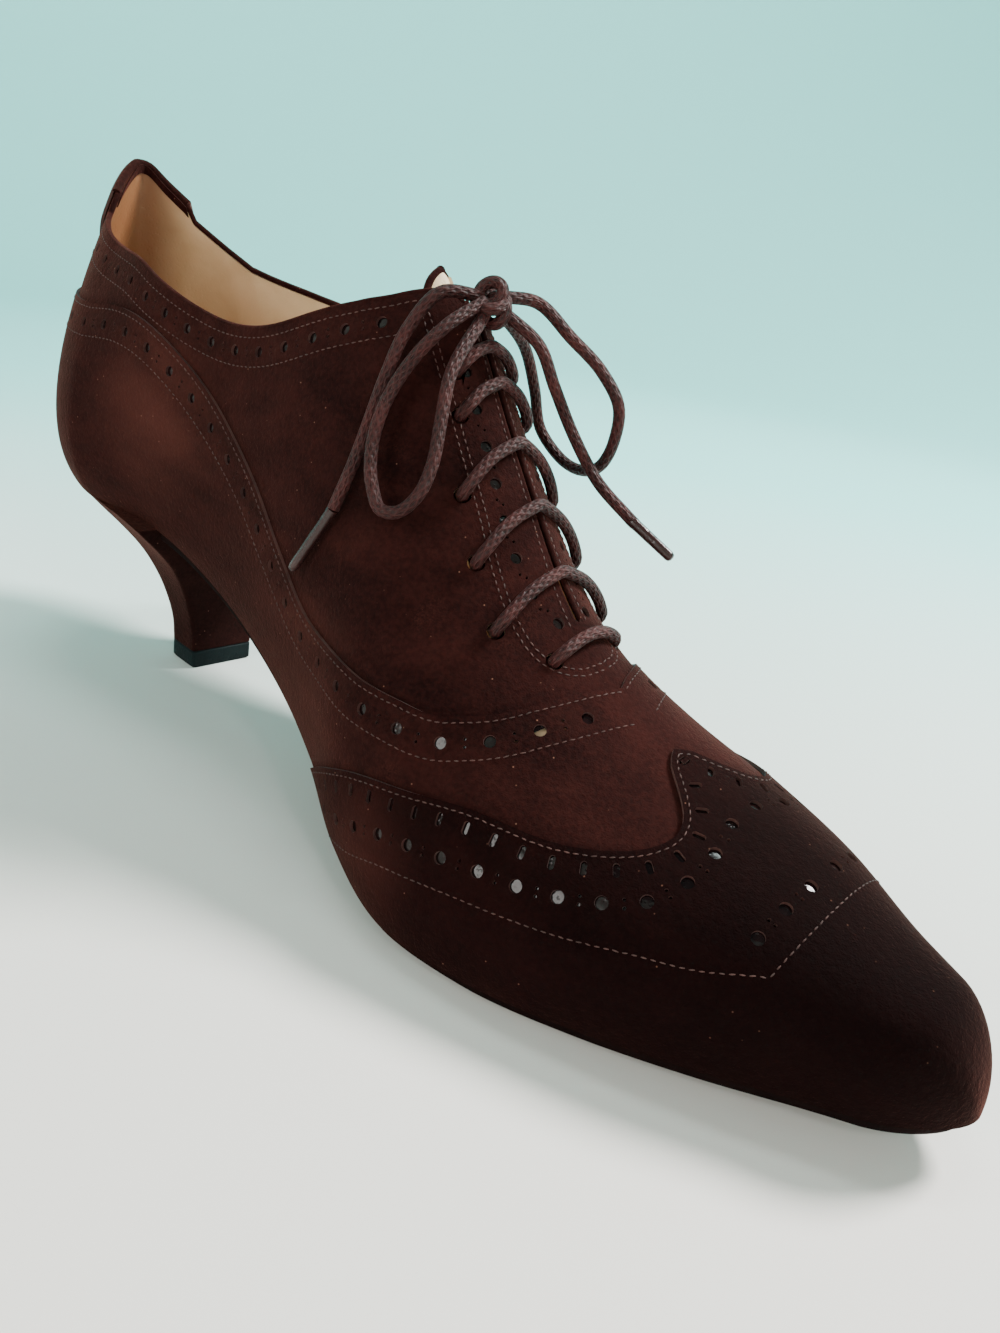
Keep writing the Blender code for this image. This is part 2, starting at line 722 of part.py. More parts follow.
def rounded_route(corners, radius, steps):
    """A route through corners, each turned through an arc of the given radius."""
    route = [corners[0]]
    for before, here, after in zip(corners, corners[1:], corners[2:]):
        back = (before - here).normalized()
        ahead = (after - here).normalized()
        angle = back.angle(ahead)
        if angle > math.radians(150):
            route.append(here)
            continue
        trim = radius / math.tan(angle / 2)
        centre = here + (back + ahead).normalized() * radius / math.sin(angle / 2)
        start = here + back * trim - centre
        end = here + ahead * trim - centre
        for k in range(steps + 1):
            route.append(centre + start.slerp(end, k / steps) * radius)
    route.append(corners[-1])
    return route


def smooth_route(points):
    """Evenly stepped points on a smooth curve through a cord's route points."""
    points = [Vector(point) for point in points]
    lengths = [0.0]
    for first, second in zip(points, points[1:]):
        lengths.append(lengths[-1] + (second - first).length)
    count = max(3, round(lengths[-1] / ROUTE_STEP) + 1)
    at = np.linspace(0, lengths[-1], count)
    axes = [hermite(lengths, [point[axis] for point in points], at) for axis in range(3)]
    return [Vector(point) for point in zip(*axes)]


def tube(name, route, radius, finish, collection):
    """A round cord along a route."""
    curve = bpy.data.curves.new(name, "CURVE")
    curve.dimensions = "3D"
    curve.bevel_depth = radius
    curve.bevel_resolution = 2
    curve.use_fill_caps = True
    spline = curve.splines.new("POLY")
    spline.points.add(len(route) - 1)
    for point, place in zip(spline.points, route):
        point.co = (*place, 1.0)
    return link(curve, name, finish, collection)


def make_lace_bars(parts):
    """Six bars over the facings, joined by the lace's runs under them."""
    over = -SEAM_STEP + BAR_CLEARANCE + LACE_RADIUS
    under = -WALL - RUN_CLEARANCE - LACE_RADIUS
    corners = []
    side = -1
    for pair in EYELETS:
        place, outward = eyelet_axis(pair, side)
        corners.append(place + outward * under)
        corners.append(place + outward * over)
        for share in (0.5, 0.0, -0.5):
            half = side if share >= 0 else -side
            up = up_at_spread(pair.along, abs(share) * pair.spread, half) if share else 1.0
            corners.append(Vector(skin_point(pair.along, up, half, over)))
        side = -side
        place, outward = eyelet_axis(pair, side)
        corners.append(place + outward * over)
        corners.append(place + outward * under)
    tube("lace_bars", rounded_route(corners, LACE_BEND, 2), LACE_RADIUS, LACE, parts)


def knot_exit(direction):
    """Where a cord leaves the knot, a fit gap clear of it."""
    direction = Vector(direction).normalized()
    scaled = Vector(d / r for d, r in zip(direction, KNOT_RADII))
    return KNOT_CENTRE + direction * (1 / scaled.length + 3 * FIT_GAP)


def make_bow(parts):
    bm = bmesh.new()
    shape = Matrix.Translation(KNOT_CENTRE) @ Matrix.Diagonal((*KNOT_RADII, 1.0))
    bmesh.ops.create_uvsphere(bm, u_segments=14, v_segments=9, radius=1.0, matrix=shape)
    finish_solid(bm, "lace_knot", LACE, parts)
    near = [knot_exit((-0.1, -1.0, 0.1)), *LOOP_NEAR, knot_exit((0.15, -0.75, -0.62))]
    tube("lace_loop_near", smooth_route(near), LACE_RADIUS, LACE, parts)
    far = [knot_exit((0.25, 0.75, 0.60)), *LOOP_FAR, knot_exit((-0.5, 0.8, -0.15))]
    tube("lace_loop_far", smooth_route(far), LACE_RADIUS, LACE, parts)
    for name, leave, route, aglet_tip in (
        ("near", (-0.75, -0.6, 0.42), END_NEAR, AGLET_NEAR_TIP),
        ("far", (0.75, 0.45, -0.45), END_FAR, AGLET_FAR_TIP),
    ):
        tube(f"lace_end_{name}", smooth_route([knot_exit(leave), *route]), LACE_RADIUS, LACE, parts)
        start = Vector(route[-1])
        along = (Vector(aglet_tip) - start).normalized()
        first = start + along * (2 * FIT_GAP)
        tube(f"aglet_{name}", [first, Vector(aglet_tip)], LACE_RADIUS * 0.92, AGLET, parts)


def main():
    for obj in list(bpy.data.objects):
        bpy.data.objects.remove(obj, do_unlink=True)
    parts = bpy.data.collections.new("lace_up_heel")
    cutters = bpy.data.collections.new("cutters")
    bpy.context.scene.collection.children.link(parts)
    bpy.context.scene.collection.children.link(cutters)
    make_upper(parts, cutters)
    make_wing_tip(parts)
    make_back_tab(parts)
    make_tongue(parts)
    make_outsole(parts)
    make_insole(parts)
    make_heel(parts)
    make_lace_bars(parts)
    make_bow(parts)


if __name__ == "__main__":
    main()
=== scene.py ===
"""Looks of the lace-up heel: leather, trim, lacing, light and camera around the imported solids."""

import logging
import math
import random
from dataclasses import dataclass, field
from enum import Enum
from typing import Callable, Iterable, Sequence

import bmesh
import bpy
import numpy as np
from mathutils import Matrix, Vector


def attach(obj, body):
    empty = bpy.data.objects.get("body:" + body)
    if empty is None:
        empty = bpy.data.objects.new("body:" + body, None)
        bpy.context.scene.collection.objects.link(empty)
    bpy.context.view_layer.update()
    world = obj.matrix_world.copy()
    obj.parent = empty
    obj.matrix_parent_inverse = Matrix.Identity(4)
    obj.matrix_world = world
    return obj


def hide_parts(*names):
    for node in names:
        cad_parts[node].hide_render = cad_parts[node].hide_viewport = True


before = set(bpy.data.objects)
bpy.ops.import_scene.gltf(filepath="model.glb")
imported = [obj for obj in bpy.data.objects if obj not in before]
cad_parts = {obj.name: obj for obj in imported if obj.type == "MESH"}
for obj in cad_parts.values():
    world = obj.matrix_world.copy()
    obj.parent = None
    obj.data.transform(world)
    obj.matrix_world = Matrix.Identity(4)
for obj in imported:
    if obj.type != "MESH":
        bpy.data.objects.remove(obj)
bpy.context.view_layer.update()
BODY = "root"
MM = 0.001

logging.basicConfig(level=logging.INFO, format="%(message)s")
LOG = logging.getLogger("lace_up_heel")

Point = tuple[float, float, float]
Colour = tuple[float, float, float, float]


class Side(Enum):
    """The two halves of the shoe."""

    OUTER = -1
    INNER = 1


# Shader kit


def maths(operation: str, swapped: bool = False) -> Callable[["Wire", object], "Wire"]:
    """Makes a method of Wire that adds one Math node.

    Args:
        operation: What the node does.
        swapped: Whether the other value comes first.

    Returns:
        The method.
    """

    def method(wire: "Wire", other: object = 0.0) -> "Wire":
        """Adds the node on this value and the other one."""
        first, second = (other, wire) if swapped else (wire, other)
        node = wire.shader.add("ShaderNodeMath", {"operation": operation}, {0: first, 1: second})
        return Wire(wire.shader, node.outputs[0])

    return method


class Wire:
    """A number socket that shader maths can be written with."""

    __add__ = maths("ADD")
    __radd__ = maths("ADD", swapped=True)
    __sub__ = maths("SUBTRACT")
    __rsub__ = maths("SUBTRACT", swapped=True)
    __mul__ = maths("MULTIPLY")
    __rmul__ = maths("MULTIPLY", swapped=True)
    __pow__ = maths("POWER")
    __rpow__ = maths("POWER", swapped=True)
    largest = maths("MAXIMUM")
    above = maths("GREATER_THAN")
    sine = maths("SINE")
    size = maths("ABSOLUTE")

    def __init__(self, shader: "Shader", socket: bpy.types.NodeSocket) -> None:
        """Holds the socket and the shader that it belongs to."""
        self.shader = shader
        self.socket = socket

    def fade(self, low: float, high: float) -> "Wire":
        """Smooth step from 0 at low to 1 at high."""
        settings = {"interpolation_type": "SMOOTHSTEP"}
        node = self.shader.add("ShaderNodeMapRange", settings, {0: self, 1: low, 2: high})
        return Wire(self.shader, node.outputs[0])


class Shader:
    """One node material."""

    def __init__(self, name: str) -> None:
        """Starts a material with a Principled shader and Object coordinates.

        Args:
            name: The material's name.
        """
        self.material = bpy.data.materials.new(name)
        self.material.use_nodes = True
        self.tree = self.material.node_tree
        self.surface = self.tree.nodes["Principled BSDF"]
        self.place = self.add("ShaderNodeTexCoord").outputs["Object"]

    def add(
        self,
        kind: str,
        settings: dict[str, object] | None = None,
        inputs: dict[int | str, object] | None = None,
    ) -> bpy.types.Node:
        """Adds any node.

        Args:
            kind: The node's type.
            settings: Its own settings, which are set first.
            inputs: Values or links of its sockets, by number or name.

        Returns:
            The node.
        """
        node = self.tree.nodes.new(kind)
        for key, value in (settings or {}).items():
            setattr(node, key, value)
        for key, value in (inputs or {}).items():
            self.feed(node.inputs[key], value)
        return node

    def feed(self, socket: bpy.types.NodeSocket, value: object) -> None:
        """Links a socket to a Wire or another socket, or sets its value.

        Args:
            socket: The socket.
            value: A Wire, another socket or a value.
        """
        if isinstance(value, Wire):
            value = value.socket
        if isinstance(value, bpy.types.NodeSocket):
            self.tree.links.new(value, socket)
        else:
            socket.default_value = value

    def axes(self, where: bpy.types.NodeSocket | None = None) -> list[Wire]:
        """The three numbers of a vector, which is the place on the object unless another is given."""
        parts = self.add("ShaderNodeSeparateXYZ", {}, {0: where or self.place})
        return [Wire(self, output) for output in parts.outputs]

    def noise(self, size: float, detail: float = 2.0, twist: float = 0.0, where: object = None) -> Wire:
        """Noise whose patches are about size metres across.

        Args:
            size: How wide its patches are, in metres.
            detail: How many finer layers it has.
            twist: How much it is distorted.
            where: The coordinates, or None for the object's own.

        Returns:
            Values from 0 to 1.
        """
        node = self.add(
            "ShaderNodeTexNoise",
            {},
            {"Vector": where or self.place, "Scale": 1 / size, "Detail": detail, "Distortion": twist},
        )
        return Wire(self, node.outputs[0])

    def stretched(self, scale: Point) -> bpy.types.NodeSocket:
        """Object coordinates stretched by a factor along each axis."""
        return self.add("ShaderNodeMapping", {}, {"Vector": self.place, "Scale": scale}).outputs[0]

    def cells(self, size: float) -> tuple[Wire, Wire]:
        """Distance to the nearest cell centre and a random number of that cell.

        Args:
            size: How far apart the cells are, in metres.

        Returns:
            The distance and the random number.
        """
        node = self.add("ShaderNodeTexVoronoi", {}, {"Vector": self.place, "Scale": 1 / size})
        parts = self.add("ShaderNodeSeparateColor", {}, {0: node.outputs["Color"]})
        return Wire(self, node.outputs["Distance"]), Wire(self, parts.outputs[0])

    def near(self, centre: Point, reach: float) -> Wire:
        """1 at a point of the object, falling to 0 at a distance in metres.

        Args:
            centre: The point.
            reach: The distance in metres.

        Returns:
            Values from 0 to 1.
        """
        node = self.add("ShaderNodeVectorMath", {"operation": "DISTANCE"}, {0: self.place, 1: centre})
        return 1 - Wire(self, node.outputs["Value"]).fade(0.0, reach)

    def blend(self, share: object, first: object, second: object) -> bpy.types.NodeSocket:
        """Mixes two colours.

        Args:
            share: How much of the second colour shows.
            first: A colour or a link.
            second: A colour or a link.

        Returns:
            The mixed colour.
        """
        node = self.add("ShaderNodeMix", {"data_type": "RGBA"}, {0: share, 6: first, 7: second})
        return node.outputs[2]

    def bump(self, height: Wire, distance: float, under: object = None) -> bpy.types.NodeSocket:
        """A bump of the given depth in metres, over another one.

        Args:
            height: The pattern.
            distance: Its depth in metres.
            under: The bump below it, if any.

        Returns:
            The bent normal.
        """
        inputs = {"Height": height, "Distance": distance}
        if under is not None:
            inputs["Normal"] = under
        return self.add("ShaderNodeBump", {}, inputs).outputs[0]

    def uv(self) -> tuple[Wire, Wire]:
        """The piece's own UV map as two values."""
        around, along, _ = self.axes(self.add("ShaderNodeTexCoord").outputs["UV"])
        return around, along

    def finish(
        self, colour: object, roughness: object, normal: object, **fixed: object
    ) -> bpy.types.Material:
        """Feeds the Principled shader.

        Args:
            colour: Base colour, a link or a value.
            roughness: Roughness, a link or a value.
            normal: A bump's result.
            **fixed: Numbers set on the shader's own sockets, by socket name with _ for spaces.

        Returns:
            The material.
        """
        values = {"Base_Color": colour, "Roughness": roughness, "Normal": normal, **fixed}
        for name, value in values.items():
            if value is not None:
                self.feed(self.surface.inputs[name.replace("_", " ")], value)
        return self.material


# Finishes


@dataclass(frozen=True)
class Suede:
    """Brushed suede with a nap, brush marks, a few light fibres, lighter patches that are partly painted
    light, and a painted shade toward the toe.
    """

    name: str
    dark: Colour = (0.0040, 0.0010, 0.0010, 1.0)
    light: Colour = (0.034, 0.0084, 0.0067, 1.0)
    # Lighter reddish colour of the rubbed wear and of the lighter patches, which are partly painted light.
    wear_and_painted_light: Colour = (0.095, 0.029, 0.022, 1.0)
    fibre: Colour = (0.34, 0.16, 0.11, 1.0)
    cloud: float = 0.034
    stroke: float = 0.011
    stroke_shape: Point = (0.55, 1.0, 1.4)
    grain: float = 0.0009
    nap: float = 0.00035
    fleck_pitch: float = 0.0021
    # Painted shade: how much the colour darkens toward the toe.
    painted_toe_shade: float = 0.0
    sheen: float = 0.20
    # Lighter patches as (centre, reach, strength): partly brush marks, partly painted light.
    brush_marks_and_painted_light: tuple[tuple[Point, float, float], ...] = ()

    def make(self) -> bpy.types.Material:
        """Builds the material."""
        shader = Shader(self.name)
        broad = shader.noise(self.cloud, 3.0, 0.8)
        brush_marks_and_painted_light = shader.noise(self.stroke, 4.0, 0.5, shader.stretched(self.stroke_shape))
        fine = shader.noise(self.nap, 3.0)
        share = (broad * 0.4 + brush_marks_and_painted_light * 0.6).fade(0.28, 0.76)
        grain = shader.noise(self.grain, 4.0, 0.3)
        share = share * 0.55 + fine * 0.25 + grain.fade(0.3, 0.7) * 0.30 - 0.06
        colour = shader.blend(share, self.dark, self.light)
        rubbed = shader.noise(0.016, 5.0, 0.6).fade(0.58, 0.78) * fine.fade(0.35, 0.7) * 0.30
        colour = shader.blend(rubbed, colour, self.wear_and_painted_light)
        # Lighter patches round given centres: partly brush marks, partly painted light.
        for centre, reach, strength in self.brush_marks_and_painted_light:
            share = shader.near(centre, reach) * (brush_marks_and_painted_light * 0.9 + fine * 0.6) * strength
            colour = shader.blend(share, colour, self.wear_and_painted_light)
        spot, luck = shader.cells(self.fleck_pitch)
        flecks = (1 - spot.fade(0.03, 0.10)) * luck.above(0.75) * 0.55
        colour = shader.blend(flecks, colour, self.fibre)
        # Painted shade: the colour darkens toward the toe, whose near side lies in shadow.
        toward_toe = shader.axes()[0].fade(0.135, 0.215)
        colour = shader.blend(toward_toe * self.painted_toe_shade, colour, self.dark)
        rough = 0.86 + fine * 0.12
        normal = shader.bump(shader.noise(0.0016, 3.0, 0.4), 0.00014)
        normal = shader.bump(grain, 0.00016, normal)
        normal = shader.bump(fine, 0.00011, normal)
        return shader.finish(
            colour,
            rough,
            normal,
            Sheen_Weight=self.sheen,
            Sheen_Roughness=0.35,
            Sheen_Tint=(0.80, 0.27, 0.20, 1.0),
            Specular_IOR_Level=0.05,
        )


@dataclass(frozen=True)
class Leather:
    """Smooth leather with a fine grain, plain or glossy, with an optional painted shadow colour."""

    name: str
    colour: Colour
    shade: Colour
    rough: float
    grain: float = 0.0009
    depth: float = 0.00005
    coat: float = 0.0
    gloss: float = 0.5
    # Colour of a painted shadow toward the back and the near wall inside, if any.
    painted_shadow: Colour | None = None

    def make(self) -> bpy.types.Material:
        """Builds the material."""
        shader = Shader(self.name)
        patches = shader.noise(0.016, 4.0, 0.6).fade(0.35, 0.7)
        colour = shader.blend(patches, self.colour, self.shade)
        # Painted shadow: darker toward the back and the near inner wall.
        if self.painted_shadow:
            forward, across, _ = shader.axes()
            inward = forward * 0.6 + across
            colour = shader.blend(inward.fade(-0.024, -0.007), self.painted_shadow, colour)
        pores, _ = shader.cells(self.grain)
        rough = self.rough + shader.noise(0.006, 3.0) * 0.12 - 0.06
        normal = shader.bump(pores.fade(0.0, 0.5), self.depth)
        normal = shader.bump(shader.noise(0.004, 2.0), self.depth * 3, normal)
        fixed = {"Coat_Weight": self.coat, "Coat_Roughness": 0.06, "Specular_IOR_Level": self.gloss}
        return shader.finish(colour, rough, normal, **fixed)


@dataclass(frozen=True)
class Braid:
    """A waxed round braid that follows the cord's own UV map."""

    name: str
    dark: Colour
    light: Colour
    strands: float = 6.0
    pitch: float = 0.0024
    rough: float = 0.52

    def make(self) -> bpy.types.Material:
        """Builds the material. U runs round the cord once and V is its length in metres."""
        shader = Shader(self.name)
        around, along = shader.uv()
        turn = around * (2 * math.pi * self.strands)
        run = along * (2 * math.pi / self.pitch)
        left = ((turn + run) * 0.5).sine().size()
        right = ((turn - run) * 0.5).sine().size()
        height = left.largest(right) ** 2.0
        thread = ((turn * 3.0 + run * 0.5).sine() + (turn * 3.0 - run * 0.5).sine()) * 0.12
        wear = shader.noise(0.006, 4.0)
        # Crowns lighter and grooves darker: painted shade in the braid's grooves, mixed with random wear.
        share = height * 0.45 + wear.fade(0.4, 0.7) * 0.45
        colour = shader.blend(share, self.dark, self.light)
        normal = shader.bump(height + thread, 0.00026)
        normal = shader.bump(shader.noise(0.00035, 2.0), 0.00008, normal)
        return shader.finish(colour, self.rough + wear * 0.15, normal, Specular_IOR_Level=0.22)


@dataclass(frozen=True)
class Thread:
    """Sewing thread."""

    name: str
    colour: Colour

    def make(self) -> bpy.types.Material:
        """Builds the material."""
        shader = Shader(self.name)
        shade = shader.noise(0.004, 2.0).fade(0.3, 0.7)
        dim = tuple(part * 0.45 for part in self.colour[:3]) + (1.0,)
        colour = shader.blend(shade, dim, self.colour)
        normal = shader.bump(shader.noise(0.0002, 2.0), 0.00006)
        return shader.finish(colour, 0.62, normal)


SUEDE = Suede(
    "suede",
    # These patches are partly brush marks and partly painted light on the lit sides.
    brush_marks_and_painted_light=(
        ((0.020, -0.034, 0.074), 0.030, 0.55),
        ((0.085, -0.036, 0.036), 0.026, 0.22),
        ((0.060, 0.036, 0.060), 0.030, 0.30),
    ),
)
# A darker copy of the suede for the wing tip: painted shade over the toe, darkening further toward the tip.
# Its lighter patches are partly brush marks and partly a painted highlight.
SUEDE_WING_SHADED = Suede(
    "suede_wing_painted_shade",
    dark=(0.0024, 0.0005, 0.0005, 1.0),
    light=(0.0128, 0.0026, 0.0022, 1.0),
    wear_and_painted_light=(0.052, 0.014, 0.011, 1.0),
    painted_toe_shade=0.7,
    sheen=0.16,
    brush_marks_and_painted_light=(((0.122, -0.037, 0.014), 0.020, 0.60), ((0.150, 0.034, 0.016), 0.020, 0.40)),
)
SUEDE_TAB = Suede("suede_tab", light=(0.034, 0.0092, 0.0070, 1.0))
SUEDE_HEEL = Suede("suede_heel", light=(0.025, 0.0072, 0.0058, 1.0), nap=0.0003)
# Cut edges in a lighter reddish colour: partly the raw edge's own tone, partly a painted highlight along
# the edges.
CUT_EDGE_AND_HIGHLIGHT = Leather("cut_edge_and_painted_highlight", (0.075, 0.026, 0.020, 1.0), (0.030, 0.011, 0.009, 1.0), 0.85)
PATENT = Leather(
    "patent", (0.006, 0.003, 0.003, 1.0), (0.014, 0.005, 0.005, 1.0), 0.13, coat=0.2, gloss=0.22
)
# The lining carries a painted shadow toward the back and the near wall inside the shoe.
LINING = Leather(
    "lining", (0.68, 0.49, 0.30, 1.0), (0.58, 0.40, 0.23, 1.0), 0.55, painted_shadow=(0.21, 0.085, 0.032, 1.0)
)
SOCK = Leather("sock", (0.60, 0.44, 0.28, 1.0), (0.50, 0.35, 0.21, 1.0), 0.50)
SOLE = Leather("sole", (0.0080, 0.0032, 0.0029, 1.0), (0.0045, 0.002, 0.0019, 1.0), 0.75, gloss=0.04)
TREAD = Leather("tread", (0.16, 0.095, 0.060, 1.0), (0.10, 0.058, 0.038, 1.0), 0.60)
RUBBER = Leather("rubber", (0.005, 0.010, 0.011, 1.0), (0.007, 0.012, 0.013, 1.0), 0.60, gloss=0.08)
LACE = Braid("lace", (0.011, 0.0027, 0.0025, 1.0), (0.066, 0.0155, 0.0138, 1.0))
AGLET = Leather("aglet", (0.038, 0.014, 0.013, 1.0), (0.020, 0.007, 0.0065, 1.0), 0.25, gloss=0.35)
THREAD = Thread("thread", (0.072, 0.025, 0.019, 1.0))


# The last


@dataclass(frozen=True)
class Crease:
    """One soft trough or ridge that is pressed into every layer."""

    along: float
    up: float
    side: Side
    turn: float
    length: float
    width: float
    depth: float


CREASES = (
    Crease(0.1300, 0.42, Side.OUTER, 1.25, 0.016, 0.0042, -0.0005),
    Crease(0.1385, 0.36, Side.OUTER, 1.20, 0.014, 0.0045, 0.0004),
    Crease(0.0730, 0.44, Side.OUTER, 0.50, 0.022, 0.0065, -0.0007),
    Crease(0.0600, 0.37, Side.OUTER, 0.35, 0.020, 0.0060, 0.0005),
    Crease(0.0900, 0.56, Side.OUTER, 0.80, 0.018, 0.0060, -0.0005),
    Crease(0.0350, 0.36, Side.OUTER, 0.15, 0.020, 0.0070, -0.0004),
    Crease(0.1300, 0.42, Side.INNER, 1.25, 0.016, 0.0045, -0.0005),
    Crease(0.0700, 0.42, Side.INNER, 0.45, 0.022, 0.0070, -0.0007),
    Crease(0.0250, 0.36, Side.INNER, 0.10, 0.020, 0.0070, -0.0004),
)


def hermite(knots: Sequence[float], values: Sequence[float], at: object) -> np.ndarray:
    """A smooth curve through the rows of a table.

    Args:
        knots: Where the rows stand, rising.
        values: The value of each row.
        at: Where it is read.

    Returns:
        The values there, held past both ends.
    """
    knots = np.asarray(knots, float)
    values = np.asarray(values, float)
    gaps = np.diff(knots)
    slopes = np.diff(values) / gaps
    tangents = np.empty(len(knots))
    weighted = slopes[:-1] * gaps[1:] + slopes[1:] * gaps[:-1]
    tangents[1:-1] = weighted / (gaps[1:] + gaps[:-1])
    tangents[0] = slopes[0]
    tangents[-1] = slopes[-1]
    at = np.clip(np.asarray(at, float), knots[0], knots[-1])
    i = np.clip(np.searchsorted(knots, at) - 1, 0, len(knots) - 2)
    t = (at - knots[i]) / gaps[i]
    start = (2 * t**3 - 3 * t**2 + 1) * values[i] + (t**3 - 2 * t**2 + t) * gaps[i] * tangents[i]
    end = (3 * t**2 - 2 * t**3) * values[i + 1] + (t**3 - t**2) * gaps[i] * tangents[i + 1]
    return start + end


def runs_of(points: np.ndarray) -> np.ndarray:
    """How far along a line of points each one is."""
    return np.concatenate([[0], np.cumsum(np.linalg.norm(np.diff(points, axis=0), axis=1))])


def points_at(at: np.ndarray, run: np.ndarray, points: np.ndarray) -> np.ndarray:
    """The points that lie at some distances along a line."""
    return np.stack([np.interp(at, run, points[:, k]) for k in range(3)], 1)


def stepped(points: np.ndarray, pitch: float, least: int) -> list[Vector]:
    """Evenly spaced points along a line, both ends included.

    Args:
        points: The line.
        pitch: About how far apart they stand.
        least: The fewest points.

    Returns:
        The points.
    """
    run = runs_of(points)
    at = np.linspace(0, run[-1], max(least, round(run[-1] / pitch)))
    return [Vector(point) for point in points_at(at, run, points)]


# at, seat, rise, outer, inner, bulge, shoulder, crown, swing, lean
SECTIONS = (
    (-0.053, 1.000, 0.918, 0.754, 0.662, 1.72, 0.28, 0.04, -0.035, 0.00),
    (0.058, 0.946, 0.950, 0.644, 0.640, 1.62, 0.29, 0.75, 0.004, 0.00),
    (0.178, 0.745, 0.989, 0.573, 0.578, 1.60, 0.33, 0.80, 0.027, 0.00),
    (0.289, 0.514, 1.002, 0.607, 0.595, 1.60, 0.36, 0.73, 0.035, 0.01),
    (0.400, 0.294, 0.922, 0.752, 0.686, 1.40, 0.36, 0.54, 0.028, 0.03),
    (0.489, 0.152, 0.732, 0.966, 0.830, 1.23, 0.36, 0.42, 0.035, 0.06),
    (0.578, 0.062, 0.547, 1.060, 0.956, 1.16, 0.36, 0.44, 0.018, 0.14),
    (0.667, 0.062, 0.407, 1.003, 1.000, 1.15, 0.42, 0.58, 0.022, 0.21),
    (0.756, 0.082, 0.326, 0.837, 0.890, 1.15, 0.50, 0.68, 0.030, 0.21),
    (0.844, 0.119, 0.273, 0.636, 0.634, 1.12, 0.60, 0.73, 0.050, 0.14),
    (0.924, 0.158, 0.200, 0.416, 0.382, 1.12, 0.70, 0.78, 0.066, 0.07),
    (1.000, 0.210, 0.142, 0.268, 0.240, 1.12, 0.80, 0.82, 0.090, 0.00),
)
FIELDS = ("at", "seat", "rise", "outer", "inner", "bulge", "shoulder", "crown", "swing", "lean")

# at, outer, inner
COLLAR_EDGE = (
    (-0.249, 0.646, 0.646),
    (-0.215, 0.644, 0.642),
    (-0.178, 0.618, 0.612),
    (-0.147, 0.586, 0.584),
    (-0.140, 0.548, 0.554),
    (-0.090, 0.526, 0.516),
    (-0.042, 0.512, 0.492),
    (0.012, 0.496, 0.473),
    (0.050, 0.477, 0.466),
    (0.085, 0.466, 0.467),
    (0.120, 0.461, 0.468),
    (0.182, 0.473, 0.475),
    (0.240, 0.518, 0.500),
    (0.307, 0.620, 0.600),
    (0.337, 0.680, 0.665),
    (0.368, 0.765, 0.755),
    (0.386, 0.843, 0.835),
    (0.398, 0.912, 0.905),
    (0.409, 0.960, 0.960),
)
TAB_ROWS = 4
PANEL_EDGE = (
    (-0.249, 0.400),
    (-0.090, 0.400),
    (0.009, 0.413),
    (0.070, 0.400),
    (0.115, 0.380),
    (0.180, 0.345),
    (0.255, 0.300),
    (0.310, 0.262),
    (0.370, 0.243),
    (0.455, 0.313),
    (0.520, 0.412),
    (0.572, 0.533),
    (0.611, 0.700),
    (0.633, 0.870),
    (0.6444, 1.000),
)
# how far up, and the share of the back's arc that the tab covers there
TAB_EDGE = (
    (0.412, 0.28),
    (0.470, 0.38),
    (0.540, 0.52),
    (0.580, 0.52),
)
WING_EDGE = (
    (0.00, 0.400),
    (0.17, 0.478),
    (0.34, 0.564),
    (0.455, 0.627),
    (0.557, 0.698),
    (0.650, 0.737),
    (0.727, 0.753),
    (0.800, 0.757),
    (0.855, 0.751),
    (0.911, 0.734),
    (0.959, 0.714),
    (1.000, 0.706),
)


